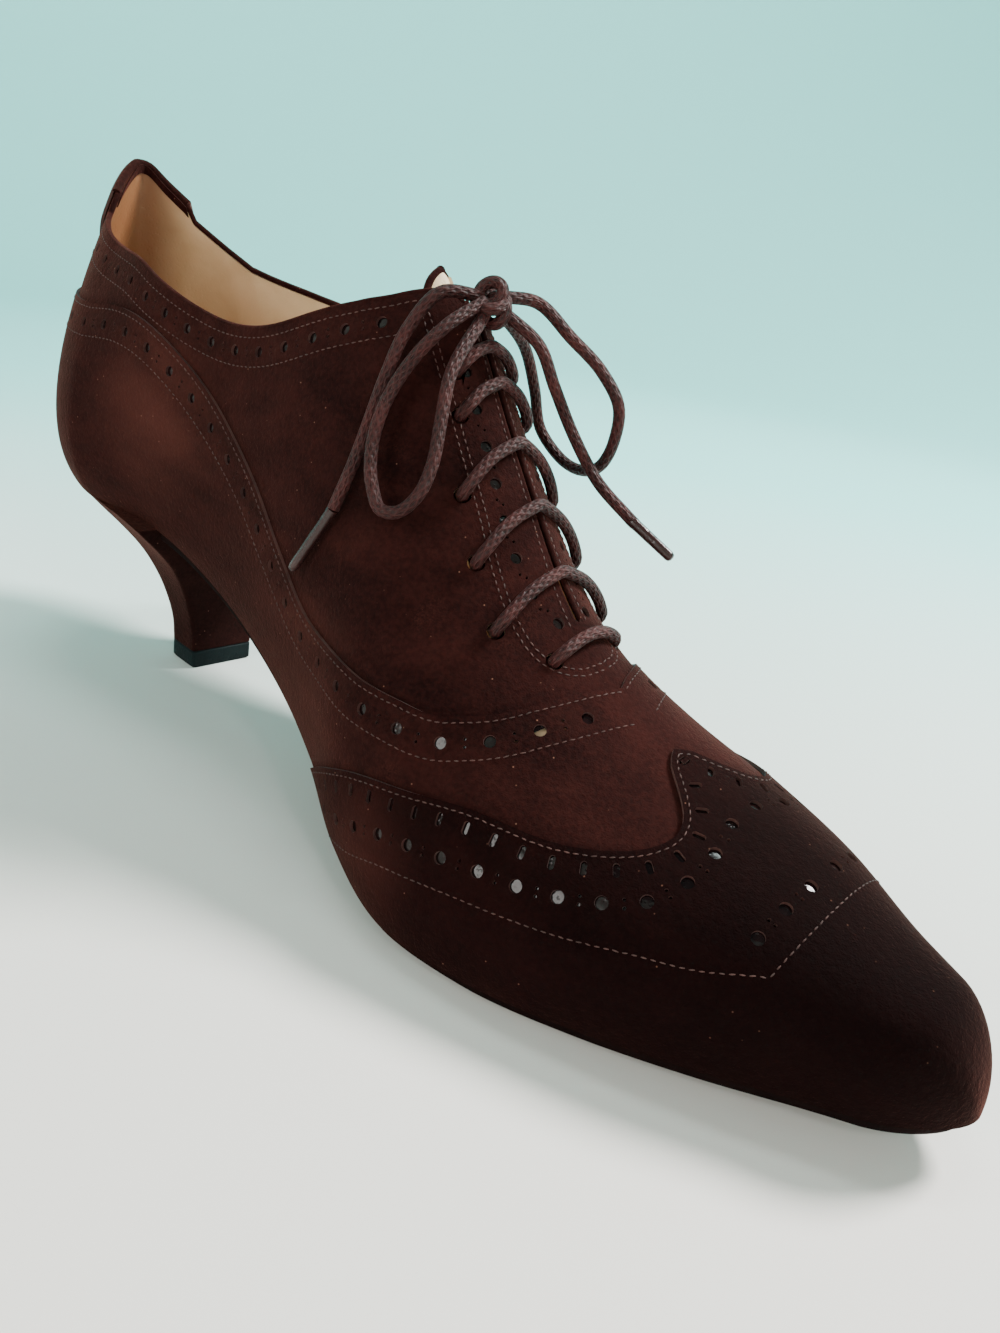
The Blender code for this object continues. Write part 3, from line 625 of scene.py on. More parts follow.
@dataclass
class Last:
    """The surface that every leather piece is lasted over.

    A place on it is along (metres forward of the heel tip), up (0 at the feather
    edge, 1 on the centre line on top) and a side.
    """

    reach: float = 0.225
    seat: float = 0.0463
    instep: float = 0.1095
    ball: float = 0.037
    round_plan: dict[Side, float] = field(default_factory=lambda: {Side.OUTER: 0.013, Side.INNER: 0.018})
    round_side: float = 0.010
    ridge_at: tuple[float, ...] = (0.0, 0.28, 0.44, 0.60, 0.72, 1.0)
    ridge: tuple[float, ...] = (1.0, 1.0, 0.76, 0.76, 1.0, 1.0)
    rear: float = -0.012
    rear_arc: float = 0.044
    rear_reach: tuple[float, ...] = (0.0317, 0.0401, 0.0234, 0.0268)
    rear_slope: float = 0.10
    square_seat: float = 0.78
    square_top: float = 1.35
    table: dict[str, tuple[float, ...]] = field(
        default_factory=lambda: dict(zip(FIELDS, zip(*SECTIONS)))
    )

    @property
    def back(self) -> float:
        """The station at the middle of the back seam."""
        return self.rear - self.rear_arc

    def section(self, name: str, along: object) -> np.ndarray:
        """One column of the section table at a station."""
        return hermite(np.array(self.table["at"]) * self.reach, self.table[name], along)

    def seat_height(self, along: object) -> np.ndarray:
        """Height of the feather edge."""
        return self.seat * self.section("seat", along)

    def half(self, along: object, side: Side) -> np.ndarray:
        """Half width at the feather edge."""
        name = "outer" if side is Side.OUTER else "inner"
        return self.ball * self.section(name, along)

    def middle(self, along: object) -> np.ndarray:
        """The centre line's Y."""
        return self.ball * self.section("swing", along)

    def bare(self, along: object, up: object, side: Side) -> np.ndarray:
        """Points of the surface with no creases.

        Args:
            along: Stations, in metres forward of the heel tip.
            up: How far up, from 0 at the feather edge to 1 on the centre line.
            side: The half of the shoe.

        Returns:
            The points, one for each place.
        """
        along, up = np.broadcast_arrays(np.asarray(along, float), np.asarray(up, float))
        rear = along < self.rear
        turn = np.where(rear, (self.rear - along) / self.rear_arc, 0.0) * math.pi / 2
        foot, low = (1 - up) ** 3, 3 * up * (1 - up) ** 2
        high, top = 3 * up**2 * (1 - up), up**3
        x = np.where(rear, self.rear, np.minimum(along, self.reach))
        blunt = self.round_plan[side]
        plan = np.clip((x - self.reach + blunt) / blunt, 0, 1)
        profile = np.clip((x - self.reach + self.round_side) / self.round_side, 0, 1)
        half = self.half(x, side) * np.sqrt(np.clip(1 - plan**2, 0, 1))
        rise = self.instep * self.section("rise", x) * np.sqrt(np.clip(1 - profile**2, 0, 1))
        crown = half * self.section("crown", x)
        if side is Side.INNER:
            crown = crown * hermite(self.ridge_at, self.ridge, x / self.reach)
        across = half * foot + half * self.section("bulge", x) * low + crown * high
        reach = sum(r * share for r, share in zip(self.rear_reach, (foot, low, high, top)))
        square = self.square_seat + (self.square_top - self.square_seat) * up
        across = across * np.where(rear, np.clip(np.cos(turn), 0, 1) ** square, 1.0)
        drop = np.where(rear, self.rear_reach[0] * np.sin(turn) * self.rear_slope, 0.0)
        height = self.seat_height(x) + drop + rise * (self.section("shoulder", x) * low + high + top)
        lean = np.where(rear, 0.0, self.section("lean", x))
        height = height + side.value * lean * crown * high
        y = self.middle(x) + side.value * across
        return np.stack([x - reach * np.sin(turn), y, height], -1)

    def normal(self, along: object, up: object, side: Side) -> np.ndarray:
        """Unit vectors out of the surface.

        Args:
            along: Stations, in metres forward of the heel tip.
            up: How far up, from 0 at the feather edge to 1 on the centre line.
            side: The half of the shoe.

        Returns:
            One vector for each place.
        """
        along, up = np.broadcast_arrays(np.asarray(along, float), np.asarray(up, float))
        tiny = 1e-4
        nose = along > self.reach - tiny
        held = np.minimum(along, self.reach - 2 * tiny)
        held_up = np.clip(up, 0.002, 1.0)
        ahead = self.bare(held + tiny / 2, held_up, side)
        behind = self.bare(np.maximum(held - tiny / 2, self.back), held_up, side)
        above = self.bare(held, np.minimum(held_up + tiny, 1.0), side)
        below = self.bare(held, held_up - tiny, side)
        normal = np.cross(ahead - behind, above - below) * -side.value
        normal[along <= self.back + tiny, 1] = 0.0
        normal /= np.linalg.norm(normal, axis=-1, keepdims=True)
        normal[nose] = (1.0, 0.0, 0.0)
        return normal

    def pressed(self, along: object, up: object, side: Side) -> np.ndarray:
        """How far the creases push the surface out.

        Args:
            along: Stations, in metres forward of the heel tip.
            up: How far up, from 0 at the feather edge to 1 on the centre line.
            side: The half of the shoe.

        Returns:
            Metres outward, less than 0 in a trough.
        """
        along, up = np.broadcast_arrays(np.asarray(along, float), np.asarray(up, float))
        total = np.zeros(along.shape)
        for crease in CREASES:
            if crease.side is not side:
                continue
            x = along - crease.along
            y = (up - crease.up) * 0.10
            run = x * math.cos(crease.turn) + y * math.sin(crease.turn)
            off = -x * math.sin(crease.turn) + y * math.cos(crease.turn)
            total += crease.depth * np.exp(-((run / crease.length) ** 2) - (off / crease.width) ** 2)
        return total

    def skin(self, along: object, up: object, side: Side, out: object) -> np.ndarray:
        """Points at a distance out from the surface, creases included.

        Args:
            along: Stations, in metres forward of the heel tip.
            up: How far up, from 0 at the feather edge to 1 on the centre line.
            side: The half of the shoe.
            out: Metres outward.

        Returns:
            The points, one for each place.
        """
        out = np.asarray(out, float) + self.pressed(along, up, side)
        return self.bare(along, up, side) + out[..., None] * self.normal(along, up, side)

    def up_at_spread(self, along: float, spread: float, side: Side) -> float:
        """How far up the surface is where it is spread from the centre line.

        Args:
            along: The station.
            spread: Metres from the centre line.
            side: The half of the shoe.

        Returns:
            How far up, from 0.5 to 1.
        """
        low, high = 0.5, 1.0
        for _ in range(40):
            middle = (low + high) / 2
            offset = abs(self.bare(along, middle, side)[1] - self.middle(along))
            low, high = (middle, high) if offset > spread else (low, middle)
        return (low + high) / 2

    def collar(self, along: object, side: Side) -> np.ndarray:
        """How far up the collar's edge is.

        Args:
            along: Stations, in metres forward of the heel tip.
            side: The half of the shoe.

        Returns:
            How far up, from 0 to 1.
        """
        column = 1 if side is Side.OUTER else 2
        runs = []
        for rows in (COLLAR_EDGE[:TAB_ROWS], COLLAR_EDGE[TAB_ROWS:]):
            stations = [row[0] * self.reach for row in rows]
            runs.append(hermite(stations, [row[column] for row in rows], along))
        low = COLLAR_EDGE[TAB_ROWS - 1][0] * self.reach
        high = COLLAR_EDGE[TAB_ROWS][0] * self.reach
        share = np.clip((np.asarray(along, float) - low) / (high - low), 0, 1)
        return runs[0] + (runs[1] - runs[0]) * share

    def panel(self, along: object) -> np.ndarray:
        """How far up the vamp and counter panel ends."""
        stations, ups = zip(*PANEL_EDGE)
        return hermite(np.array(stations) * self.reach, ups, along)

    def wing(self, up: object) -> np.ndarray:
        """The station where the wing tip begins."""
        ups, stations = zip(*WING_EDGE)
        return self.reach * hermite(ups, stations, up)


LAST = Last()


@dataclass
class Spot:
    """One place on the leather, with its directions."""

    place: Vector
    forward: Vector
    outward: Vector

    def matrix(self, turn: float = 0.0) -> Matrix:
        """X along the row, Z out of the leather, turned about Z.

        Args:
            turn: The angle about Z.

        Returns:
            The matrix.
        """
        across = self.outward.cross(self.forward).normalized()
        frame_3 = Matrix((across.cross(self.outward), across, self.outward)).transposed()
        return Matrix.Translation(self.place) @ frame_3.to_4x4() @ Matrix.Rotation(turn, 4, "Z")


@dataclass
class Trace:
    """A line on the last, as dense along and up values on one side."""

    side: Side
    along: np.ndarray
    up: np.ndarray

    @classmethod
    def through(cls, side: Side, points: Sequence[tuple[float, float]]) -> "Trace":
        """A smooth line through a few places given as (along in mm, up).

        Args:
            side: The half of the shoe.
            points: The places.

        Returns:
            The line.
        """
        marks = np.array(points, float)
        marks[:, 0] *= MM
        at = np.concatenate([[0], np.cumsum(np.hypot(np.diff(marks[:, 0]) * 10, np.diff(marks[:, 1])))])
        fine = np.linspace(0, at[-1], 400)
        return cls(side, hermite(at, marks[:, 0], fine), np.clip(hermite(at, marks[:, 1], fine), 0, 1))

    def offset(self, distance: float, toward: int) -> "Trace":
        """The line moved sideways over the surface.

        Args:
            distance: How far, in metres.
            toward: 1 to move toward the sole or the toe, -1 the other way.

        Returns:
            The moved line, smoothed a little.
        """
        along, up = self.along.copy(), self.up.copy()
        steps = max(1, round(distance / 0.0008))
        tiny = 1e-4
        for _ in range(steps):
            points = LAST.bare(along, up, self.side)
            tangent = np.gradient(points, axis=0)
            tangent /= np.linalg.norm(tangent, axis=1, keepdims=True) + 1e-12
            normal = LAST.normal(along, up, self.side)
            move = np.cross(normal, tangent) * (self.side.value * toward * distance / steps)
            by_along = (LAST.bare(along + tiny, up, self.side) - points) / tiny
            held = np.minimum(up, 1 - tiny)
            by_up = (LAST.bare(along, held + tiny, self.side) - LAST.bare(along, held, self.side)) / tiny
            aa = (by_along**2).sum(1)
            bb = (by_up**2).sum(1)
            ab = (by_along * by_up).sum(1)
            pa = (by_along * move).sum(1)
            pb = (by_up * move).sum(1)
            base = aa * bb - ab**2
            along = along + (pa * bb - pb * ab) / base
            up = np.clip(up + (pb * aa - pa * ab) / base, 0, 1)
            along[1:-1] = (along[:-2] + 2 * along[1:-1] + along[2:]) / 4
            up[1:-1] = (up[:-2] + 2 * up[1:-1] + up[2:]) / 4
        return Trace(self.side, along, up)

    def part(self, low: float, high: float) -> "Trace":
        """The stretch between two stations, in metres.

        Args:
            low: The first station.
            high: The last station.

        Returns:
            The stretch.
        """
        kept = (self.along >= low) & (self.along <= high)
        return Trace(self.side, self.along[kept], self.up[kept])

    def spots(self, pitch: float, out: float, phase: float = 0.5) -> list[Spot]:
        """Evenly spaced places along the line.

        Args:
            pitch: About how far apart they stand.
            out: Metres outward.
            phase: Where the first one stands.

        Returns:
            The places.
        """
        points = LAST.skin(self.along, self.up, self.side, out)
        run = runs_of(points)
        count = max(2, round(run[-1] / pitch))
        at = (np.arange(count) + phase) * run[-1] / count
        forward = points_at(at + 2e-4, run, points) - points_at(at - 2e-4, run, points)
        outward = points_at(at, run, LAST.normal(self.along, self.up, self.side))
        found = []
        for place, ahead, out_of in zip(points_at(at, run, points), forward, outward):
            found.append(Spot(Vector(place), Vector(ahead).normalized(), Vector(out_of).normalized()))
        return found

    def path(self, pitch: float, out: float) -> list[Vector]:
        """Evenly spaced points along the line, both ends included.

        Args:
            pitch: About how far apart they stand.
            out: Metres outward.

        Returns:
            The points.
        """
        return stepped(LAST.skin(self.along, self.up, self.side, out), pitch, 2)


# Mesh helpers


def dress(obj: bpy.types.Object, slot: str, replaced: Iterable[str], *finishes: object) -> bpy.types.Object:
    """Gives a piece its materials and its body, and hides the solids that it stands for.

    Args:
        obj: The piece.
        slot: Its slot's name; not used.
        replaced: The solids that it stands for.
        *finishes: Its finishes, none where it has its materials.

    Returns:
        The piece.
    """
    for finish in finishes:
        obj.data.materials.append(material_of(finish))
    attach(obj, BODY)
    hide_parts(*replaced)
    LOG.info("%s: %d faces", obj.name, len(getattr(obj.data, "polygons", [])))
    return obj


MADE: dict[str, bpy.types.Material] = {}


def material_of(finish: object) -> bpy.types.Material:
    """The material of a finish, made once."""
    if finish.name not in MADE:
        MADE[finish.name] = finish.make()
    return MADE[finish.name]


def object_of(bm: bmesh.types.BMesh, name: str, smooth: float = 40.0) -> bpy.types.Object:
    """Turns a bmesh into an object, smooth apart from edges sharper than smooth degrees.

    Args:
        bm: The mesh, which is freed.
        name: The object's name.
        smooth: The angle in degrees.

    Returns:
        The object.
    """
    mesh = bpy.data.meshes.new(name)
    bm.to_mesh(mesh)
    bm.free()
    mesh.shade_smooth()
    mesh.set_sharp_from_angle(angle=math.radians(smooth))
    obj = bpy.data.objects.new(name, mesh)
    bpy.context.scene.collection.objects.link(obj)
    return obj


Cells = dict[bmesh.types.BMVert, tuple[int, int]]


def mapped_grid(bm: bmesh.types.BMesh, points: np.ndarray, flip: bool = False) -> Cells:
    """Adds a grid whose vertices are laid on a table of points.

    Args:
        bm: The mesh that it is added to.
        points: Rows of points.
        flip: Whether its faces are turned over.

    Returns:
        Each vertex's row and column.
    """
    rows, columns = points.shape[:2]
    made = bmesh.ops.create_grid(bm, x_segments=rows - 1, y_segments=columns - 1, size=0.5)
    cells = {}
    for vert in made["verts"]:
        i = round((vert.co.x + 0.5) * (rows - 1))
        j = round((vert.co.y + 0.5) * (columns - 1))
        cells[vert] = (i, j)
        vert.co = points[i, j]
    if flip:
        faces = list({face for vert in cells for face in vert.link_faces})
        bmesh.ops.reverse_faces(bm, faces=faces)
    return cells


def welded(bm: bmesh.types.BMesh, fill: bool = False) -> None:
    """Merges doubles, closes ends if asked, and turns the faces out.

    Args:
        bm: The mesh.
        fill: Whether open ends are closed.
    """
    bmesh.ops.remove_doubles(bm, verts=bm.verts, dist=2e-5)
    bmesh.ops.dissolve_degenerate(bm, dist=2e-6, edges=bm.edges)
    if fill:
        open_edges = [edge for edge in bm.edges if len(edge.link_faces) == 1]
        bmesh.ops.holes_fill(bm, edges=open_edges, sides=0)
    bmesh.ops.recalc_face_normals(bm, faces=bm.faces)


def applied(obj: bpy.types.Object, smooth: float = 40.0) -> bpy.types.Object:
    """Applies the object's modifiers to its mesh.

    Args:
        obj: The object.
        smooth: The angle that stays smooth, in degrees.

    Returns:
        The same object.
    """
    graph = bpy.context.evaluated_depsgraph_get()
    mesh = bpy.data.meshes.new_from_object(obj.evaluated_get(graph))
    obj.modifiers.clear()
    obj.data = mesh
    mesh.shade_smooth()
    mesh.set_sharp_from_angle(angle=math.radians(smooth))
    return obj


def sheet(
    name: str,
    grids: dict[Side, np.ndarray],
    thickness: float,
    finishes: Sequence[object],
    punches: bmesh.types.BMesh | None = None,
    inner_material: int = 0,
) -> bpy.types.Object:
    """Leather cut as two halves that meet on the centre line, with real thickness and holes.

    Args:
        name: The piece's name.
        grids: Points of each half's outer face.
        thickness: How thick the leather is, measured inward.
        finishes: The finishes of the outer face, the cut edges and any others.
        punches: The solids that punch the holes.
        inner_material: Material number of the inner face.

    Returns:
        The finished object.
    """
    bm = bmesh.new()
    for side, points in grids.items():
        mapped_grid(bm, points, side is Side.INNER)
    bmesh.ops.remove_doubles(bm, verts=bm.verts, dist=2e-5)
    bmesh.ops.dissolve_degenerate(bm, dist=2e-6, edges=bm.edges)
    obj = object_of(bm, name)
    for finish in finishes:
        obj.data.materials.append(material_of(finish))
    solid = obj.modifiers.new("thickness", "SOLIDIFY")
    solid.thickness = thickness
    solid.offset = -1.0
    solid.material_offset_rim = 1
    solid.material_offset = inner_material
    if punches is None:
        return applied(obj)
    for face in punches.faces:
        face.material_index = 1
    cutter = object_of(punches, name + "_punches")
    for finish in finishes[:2]:
        cutter.data.materials.append(material_of(finish))
    cut = obj.modifiers.new("holes", "BOOLEAN")
    cut.operation = "DIFFERENCE"
    cut.solver = "MANIFOLD"
    cut.object = cutter
    before = len(obj.data.polygons)
    applied(obj)
    if len(obj.data.polygons) <= before * 2:
        LOG.warning("%s: the holes were not cut", name)
    bpy.data.objects.remove(cutter)
    return obj


def tube_mesh(
    bm: bmesh.types.BMesh,
    path: Sequence[Vector],
    radius: float | Callable[[float], float],
    around: int = 16,
    closed: bool = False,
) -> None:
    """Adds a tube along a path, with a UV map that goes once round and runs in metres.

    Args:
        bm: The mesh that it is added to.
        path: The tube's centre line.
        radius: Its radius, or the radius at a share of its length.
        around: How many sides it has.
        closed: Whether it runs back into its start.
    """
    points = [Vector(point) for point in path]
    count = len(points)
    layer = bm.loops.layers.uv.verify()
    normal = None
    rings = []
    run = [0.0]
    for first, second in zip(points, points[1:]):
        run.append(run[-1] + (second - first).length)
    for k, point in enumerate(points):
        after = points[(k + 1) % count] if closed else points[min(k + 1, count - 1)]
        before = points[k - 1] if closed else points[max(k - 1, 0)]
        tangent = (after - before).normalized()
        if normal is None:
            normal = tangent.orthogonal().normalized()
        normal = (normal - tangent * normal.dot(tangent)).normalized()
        side = tangent.cross(normal)
        size = radius(k / (count - 1)) if callable(radius) else radius
        turns = [2 * math.pi * i / around for i in range(around + 1)]
        rings.append([point + (normal * math.cos(a) + side * math.sin(a)) * size for a in turns])
    if closed:
        rings.append(rings[0])
        run.append(run[-1] + (points[0] - points[-1]).length)
    cells = mapped_grid(bm, np.array(rings))
    for face in {face for vert in cells for face in vert.link_faces}:
        for loop in face.loops:
            i, j = cells[loop.vert]
            loop[layer].uv = (j / around, run[i])


Tube = tuple[Sequence[Vector], float | Callable[[float], float]]


def tubes(name: str, runs: Iterable[Tube], around: int, smooth: float = 40.0) -> bpy.types.Object:
    """One object of closed tubes, each given as its path and its radius.

    Args:
        name: The object's name.
        runs: The tubes.
        around: How many sides they have.
        smooth: The angle that stays smooth, in degrees.

    Returns:
        The object.
    """
    bm = bmesh.new()
    for path, radius in runs:
        tube_mesh(bm, path, radius, around)
    welded(bm, fill=True)
    return object_of(bm, name, smooth)


def smoothed(points: Sequence[Vector], pitch: float = 0.0011) -> list[Vector]:
    """Evenly stepped points on a smooth curve through route points.

    Args:
        points: The route's points.
        pitch: About how far apart the steps are.

    Returns:
        The points.
    """
    points = [Vector(point) for point in points]
    lengths = [0.0]
    for first, second in zip(points, points[1:]):
        lengths.append(lengths[-1] + (second - first).length)
    fine = np.linspace(0, lengths[-1], 600)
    axes = np.stack([hermite(lengths, [p[k] for p in points], fine) for k in range(3)], 1)
    return stepped(axes, pitch, 4)


def wrapped(name: str, rings: np.ndarray, smooth: float = 35.0) -> bpy.types.Object:
    """A closed solid through rings of the same count, with flat ends.

    Args:
        name: The object's name.
        rings: The rings, from one end to the other.
        smooth: The angle that stays smooth, in degrees.

    Returns:
        The object.
    """
    bm = bmesh.new()
    closed = np.concatenate([rings, rings[:, :1]], axis=1)
    mapped_grid(bm, closed)
    welded(bm, fill=True)
    return object_of(bm, name, smooth)


# Holes and stitches


@dataclass(frozen=True)
class Punch:
    """A hole's size. Straight is half the length added between its round ends."""

    radius: float
    straight: float = 0.0
    sides: int = 16
    depth: float = 0.0036

    def add(self, bm: bmesh.types.BMesh, spot: Spot, shift: tuple[float, float] = (0.0, 0.0)) -> None:
        """Adds the punch's solid at a place, moved along and across the row.

        Args:
            bm: The mesh that it is added to.
            spot: Its place and directions.
            shift: How far it is moved along and across.
        """
        made = bmesh.ops.create_cone(
            bm,
            cap_ends=True,
            segments=self.sides,
            radius1=self.radius,
            radius2=self.radius,
            depth=self.depth,
        )
        if self.straight:
            for vert in made["verts"]:
                vert.co.y += math.copysign(self.straight, vert.co.y)
        move = Matrix.Translation((shift[0], shift[1], 0.0))
        bmesh.ops.transform(bm, matrix=spot.matrix() @ move, verts=made["verts"])


BIG_HOLE = Punch(1.20 * MM)
SMALL_HOLE = Punch(0.34 * MM, sides=8)
SLOT = Punch(0.60 * MM, straight=0.66 * MM, sides=14)
LACE_HOLE = Punch(1.75 * MM, sides=20)


@dataclass(frozen=True)
class HoleRow:
    """A row of big holes with a pair of small ones after each but the last."""

    pitch: float
    phase: float
    small: tuple[float, float]

    def add(self, bm: bmesh.types.BMesh, line: Trace, out: float) -> None:
        """Adds the row's punches along a line on the leather.

        Args:
            bm: The mesh that it is added to.
            line: The row's line.
            out: Metres outward of the last.
        """
        for spot in line.spots(self.pitch, out, self.phase):
            BIG_HOLE.add(bm, spot)
        for spot in line.spots(self.pitch, out, self.phase + 0.5)[:-1]:
            SMALL_HOLE.add(bm, spot, self.small)
            SMALL_HOLE.add(bm, spot, (-self.small[0], -self.small[1]))


PANEL_HOLES = HoleRow(9.3 * MM, 0.05, (0.0, 0.75 * MM))
WING_HOLES = HoleRow(7.7 * MM, 0.5, (0.0, 0.7 * MM))
CAP_HOLES = HoleRow(7.2 * MM, 0.42, (0.0, 0.6 * MM))
COLLAR_HOLES = HoleRow(8.4 * MM, 0.4, (0.0, 0.7 * MM))
FACING_HOLES = HoleRow(7.4 * MM, 0.45, (0.55 * MM, 0.5 * MM))


@dataclass(frozen=True)
class Stitch:
    """One visible stitch."""

    length: float = 1.12 * MM
    width: float = 0.27 * MM
    height: float = 0.28 * MM

    def add(self, bm: bmesh.types.BMesh, spot: Spot, chance: random.Random) -> None:
        """Adds one stitch, a little out of line.

        Args:
            bm: The mesh that it is added to.
            spot: Its place and directions.
            chance: The source of its small errors.
        """
        turn = chance.uniform(-0.16, 0.16)
        size = (self.length / 2 * chance.uniform(0.85, 1.1), self.width / 2, self.height / 2)
        shape = spot.matrix(turn) @ Matrix.Diagonal((*size, 1.0))
        bmesh.ops.create_uvsphere(bm, u_segments=6, v_segments=4, radius=1.0, matrix=shape)


# Lines on the leather, each a few places as millimetres along and how far up
WING_HOLE_LINE = (
    (98.0, 0.0),
    (111.8, 0.102),
    (130.7, 0.26),
    (146.1, 0.348),
    (161.2, 0.428),
    (173.1, 0.541),
    (177.2, 0.687),
    (176.7, 0.857),
    (175.1, 0.962),
    (174.8, 1.0),
)
WING_SEAM_LINE = (
    (107.5, 0.012),
    (115.8, 0.070),
    (130.6, 0.188),
    (140.1, 0.236),
    (154.2, 0.291),
    (165.3, 0.326),
    (175.3, 0.365),
    (185.6, 0.392),
    (194.6, 0.476),
)
CAP_SEAM_LINE = ((194.8, 0.476), (195.8, 0.679), (196.2, 0.9), (196.2, 1.0))
CAP_HOLE_LINE = ((190.3, 0.53), (190.9, 0.7), (191.4, 0.88), (191.5, 1.0))
SLIT_SEAM_LINE = ((94.5, 0.966), (107.5, 0.957), (117.4, 0.957), (125.4, 0.952), (133.5, 0.95))
FACING_SEAM_LINE = (
    (87.8, 0.815),
    (95.0, 0.805),
    (103.3, 0.800),
    (114.0, 0.793),
    (120.9, 0.783),
    (127.7, 0.788),
    (133.0, 0.81),
    (136.6, 0.85),
    (139.2, 0.91),
    (140.3, 1.0),
)
FACING_HOLE_LINE = (
    (97.0, 0.872),
    (106.4, 0.866),
    (117.1, 0.848),
    (122.5, 0.850),
    (130.5, 0.895),
    (134.6, 0.965),
)
NOSE_START = 0.208
NOSE = NOSE_START + (LAST.reach - NOSE_START) * np.sin(np.linspace(0, math.pi / 2, 22))


@dataclass
class Upper:
    """The lasted upper: panel, quarters, wing tip, tab, linings, holes and stitching."""

    step: float = 0.0008
    leather: float = 0.0007
    wing_out: float = 0.00085
    wing_foot: float = 0.012
    slit: float = 0.0012
    slit_top: float = 0.092
    slit_end: float = 0.1335
    throat: float = 0.145
    notch: float = -0.0312
    stitch_pitch: float = 0.00155
    panel_band: tuple[float, float, float] = (1.2 * MM, 4.9 * MM, 8.2 * MM)
    panel_seam_span: tuple[float, float] = (-0.0555, 0.1545)
    collar_band: tuple[float, float, float] = (2.0 * MM, 5.0 * MM, 8.2 * MM)
    collar_first_span: tuple[float, float] = (-0.028, 0.0885)
    collar_second_span: tuple[float, float] = (-0.030, 0.0865)
    collar_hole_span: tuple[float, float] = (-0.026, 0.086)
    facing_gap: float = 1.4 * MM
    facing_end: float = 0.1417
    wing_hole_start: float = 0.102
    wing_band: tuple[float, float] = (1.1 * MM, 3.3 * MM)
    slot_pitch: float = 5.5 * MM
    tuck: float = 0.006
    underlay: float = 0.00008
    lining_depth: float = 0.0017
    lining: float = 0.0004
    tab_low: float = 0.412
    tab_high: float = 0.580
    tab_rise: float = 0.003
    tab_out: float = 0.0012
    seams: list[tuple[Trace, float]] = field(default_factory=list)
    punches: dict[str, bmesh.types.BMesh] = field(default_factory=dict)

    def panel_trace(self, side: Side) -> Trace:
        """The panel's edge on the quarters."""
        rear = np.linspace(LAST.back, 0.125, 300)
        along = np.concatenate([rear, np.linspace(0.1255, self.throat, 160)])
        return Trace(side, along, LAST.panel(along))

    def wing_trace(self, side: Side) -> Trace:
        """The wing tip's rear edge."""
        up = np.linspace(0.03, 1.0, 400)
        return Trace(side, LAST.wing(up), up)

    def collar_trace(self, side: Side) -> Trace:
        """The collar's edge from the tab's notch to the slit."""
        rear = np.linspace(self.notch, 0.075, 200)
        along = np.concatenate([rear, np.linspace(0.0755, self.slit_top, 160)])
        return Trace(side, along, LAST.collar(along, side))

    def slit_up(self, along: float, side: Side) -> float:
        """How far up the slit's edge is.

        Args:
            along: The station.
            side: The half of the shoe.

        Returns:
            How far up, from 0 to 1.
        """
        crown = LAST.half(along, side) * LAST.section("crown", along)
        return float(1 - self.slit / (3 * crown))

    def sew(self, line: Trace, out: float) -> None:
        """Notes a row of stitches at a height over the last."""
        self.seams.append((line, out))

    def plan_trim(self) -> None:
        """Lays out every row of holes and stitches."""
        self.punches = {name: bmesh.new() for name in ("panel", "quarter", "wing")}
        for side in Side:
            self.plan_panel(side)
            self.plan_wing(side)
            self.plan_collar(side)
            self.plan_facing(side)

    def plan_panel(self, side: Side) -> None:
        """The panel's edge row, hole row and lower row.

        Args:
            side: The half of the shoe.
        """
        edge = self.panel_trace(side)
        first, holes, second = self.panel_band
        self.sew(edge.offset(first, 1), 0.0)
        self.sew(edge.offset(second, 1).part(*self.panel_seam_span), 0.0)
        PANEL_HOLES.add(self.punches["panel"], edge.offset(holes, 1), 0.0)

    def plan_wing(self, side: Side) -> None:
        """The wing tip's rows and the straight cap line.

        Args:
            side: The half of the shoe.
        """
        out = self.wing_out
        punches = self.punches["wing"]
        edge = self.wing_trace(side)
        seam, slots = self.wing_band
        self.sew(edge.offset(seam, 1), out)
        for spot in edge.offset(slots, 1).spots(self.slot_pitch, out, 0.6):
            SLOT.add(punches, spot)
        row = Trace.through(side, WING_HOLE_LINE).part(self.wing_hole_start, LAST.reach)
        WING_HOLES.add(punches, row, out)
        self.sew(Trace.through(side, WING_SEAM_LINE), out)
        self.sew(Trace.through(side, CAP_SEAM_LINE), out)
        CAP_HOLES.add(punches, Trace.through(side, CAP_HOLE_LINE), out)

    def plan_collar(self, side: Side) -> None:
        """The collar band's rows.

        Args:
            side: The half of the shoe.
        """
        edge = self.collar_trace(side)
        first, holes, second = self.collar_band
        self.sew(edge.offset(first, 1).part(*self.collar_first_span), -self.step)
        self.sew(edge.offset(second, 1).part(*self.collar_second_span), -self.step)
        row = edge.offset(holes, 1).part(*self.collar_hole_span)
        COLLAR_HOLES.add(self.punches["quarter"], row, -self.step)

    def plan_facing(self, side: Side) -> None:
        """The rows round the lacing.

        Args:
            side: The half of the shoe.
        """
        self.sew(Trace.through(side, SLIT_SEAM_LINE), -self.step)
        rim = Trace.through(side, FACING_SEAM_LINE)
        self.sew(rim, -self.step)
        self.sew(rim.offset(self.facing_gap, 1).part(0.0, self.facing_end), -self.step)
        FACING_HOLES.add(self.punches["quarter"], Trace.through(side, FACING_HOLE_LINE), -self.step)
        for along, spread in EYELETS:
            place, outward = eyelet(along, spread, side)
            forward = Vector((0.7, 0.0, -0.7))
            forward = (forward - outward * forward.dot(outward)).normalized()
            LACE_HOLE.add(self.punches["quarter"], Spot(place, forward, outward))

    def stations(self) -> np.ndarray:
        """Stations of the panel from the back seam to the toe's point."""
        rear = np.linspace(LAST.back, -0.0132, 34)
        return np.concatenate([rear, np.linspace(LAST.rear, 0.207, 150), NOSE])

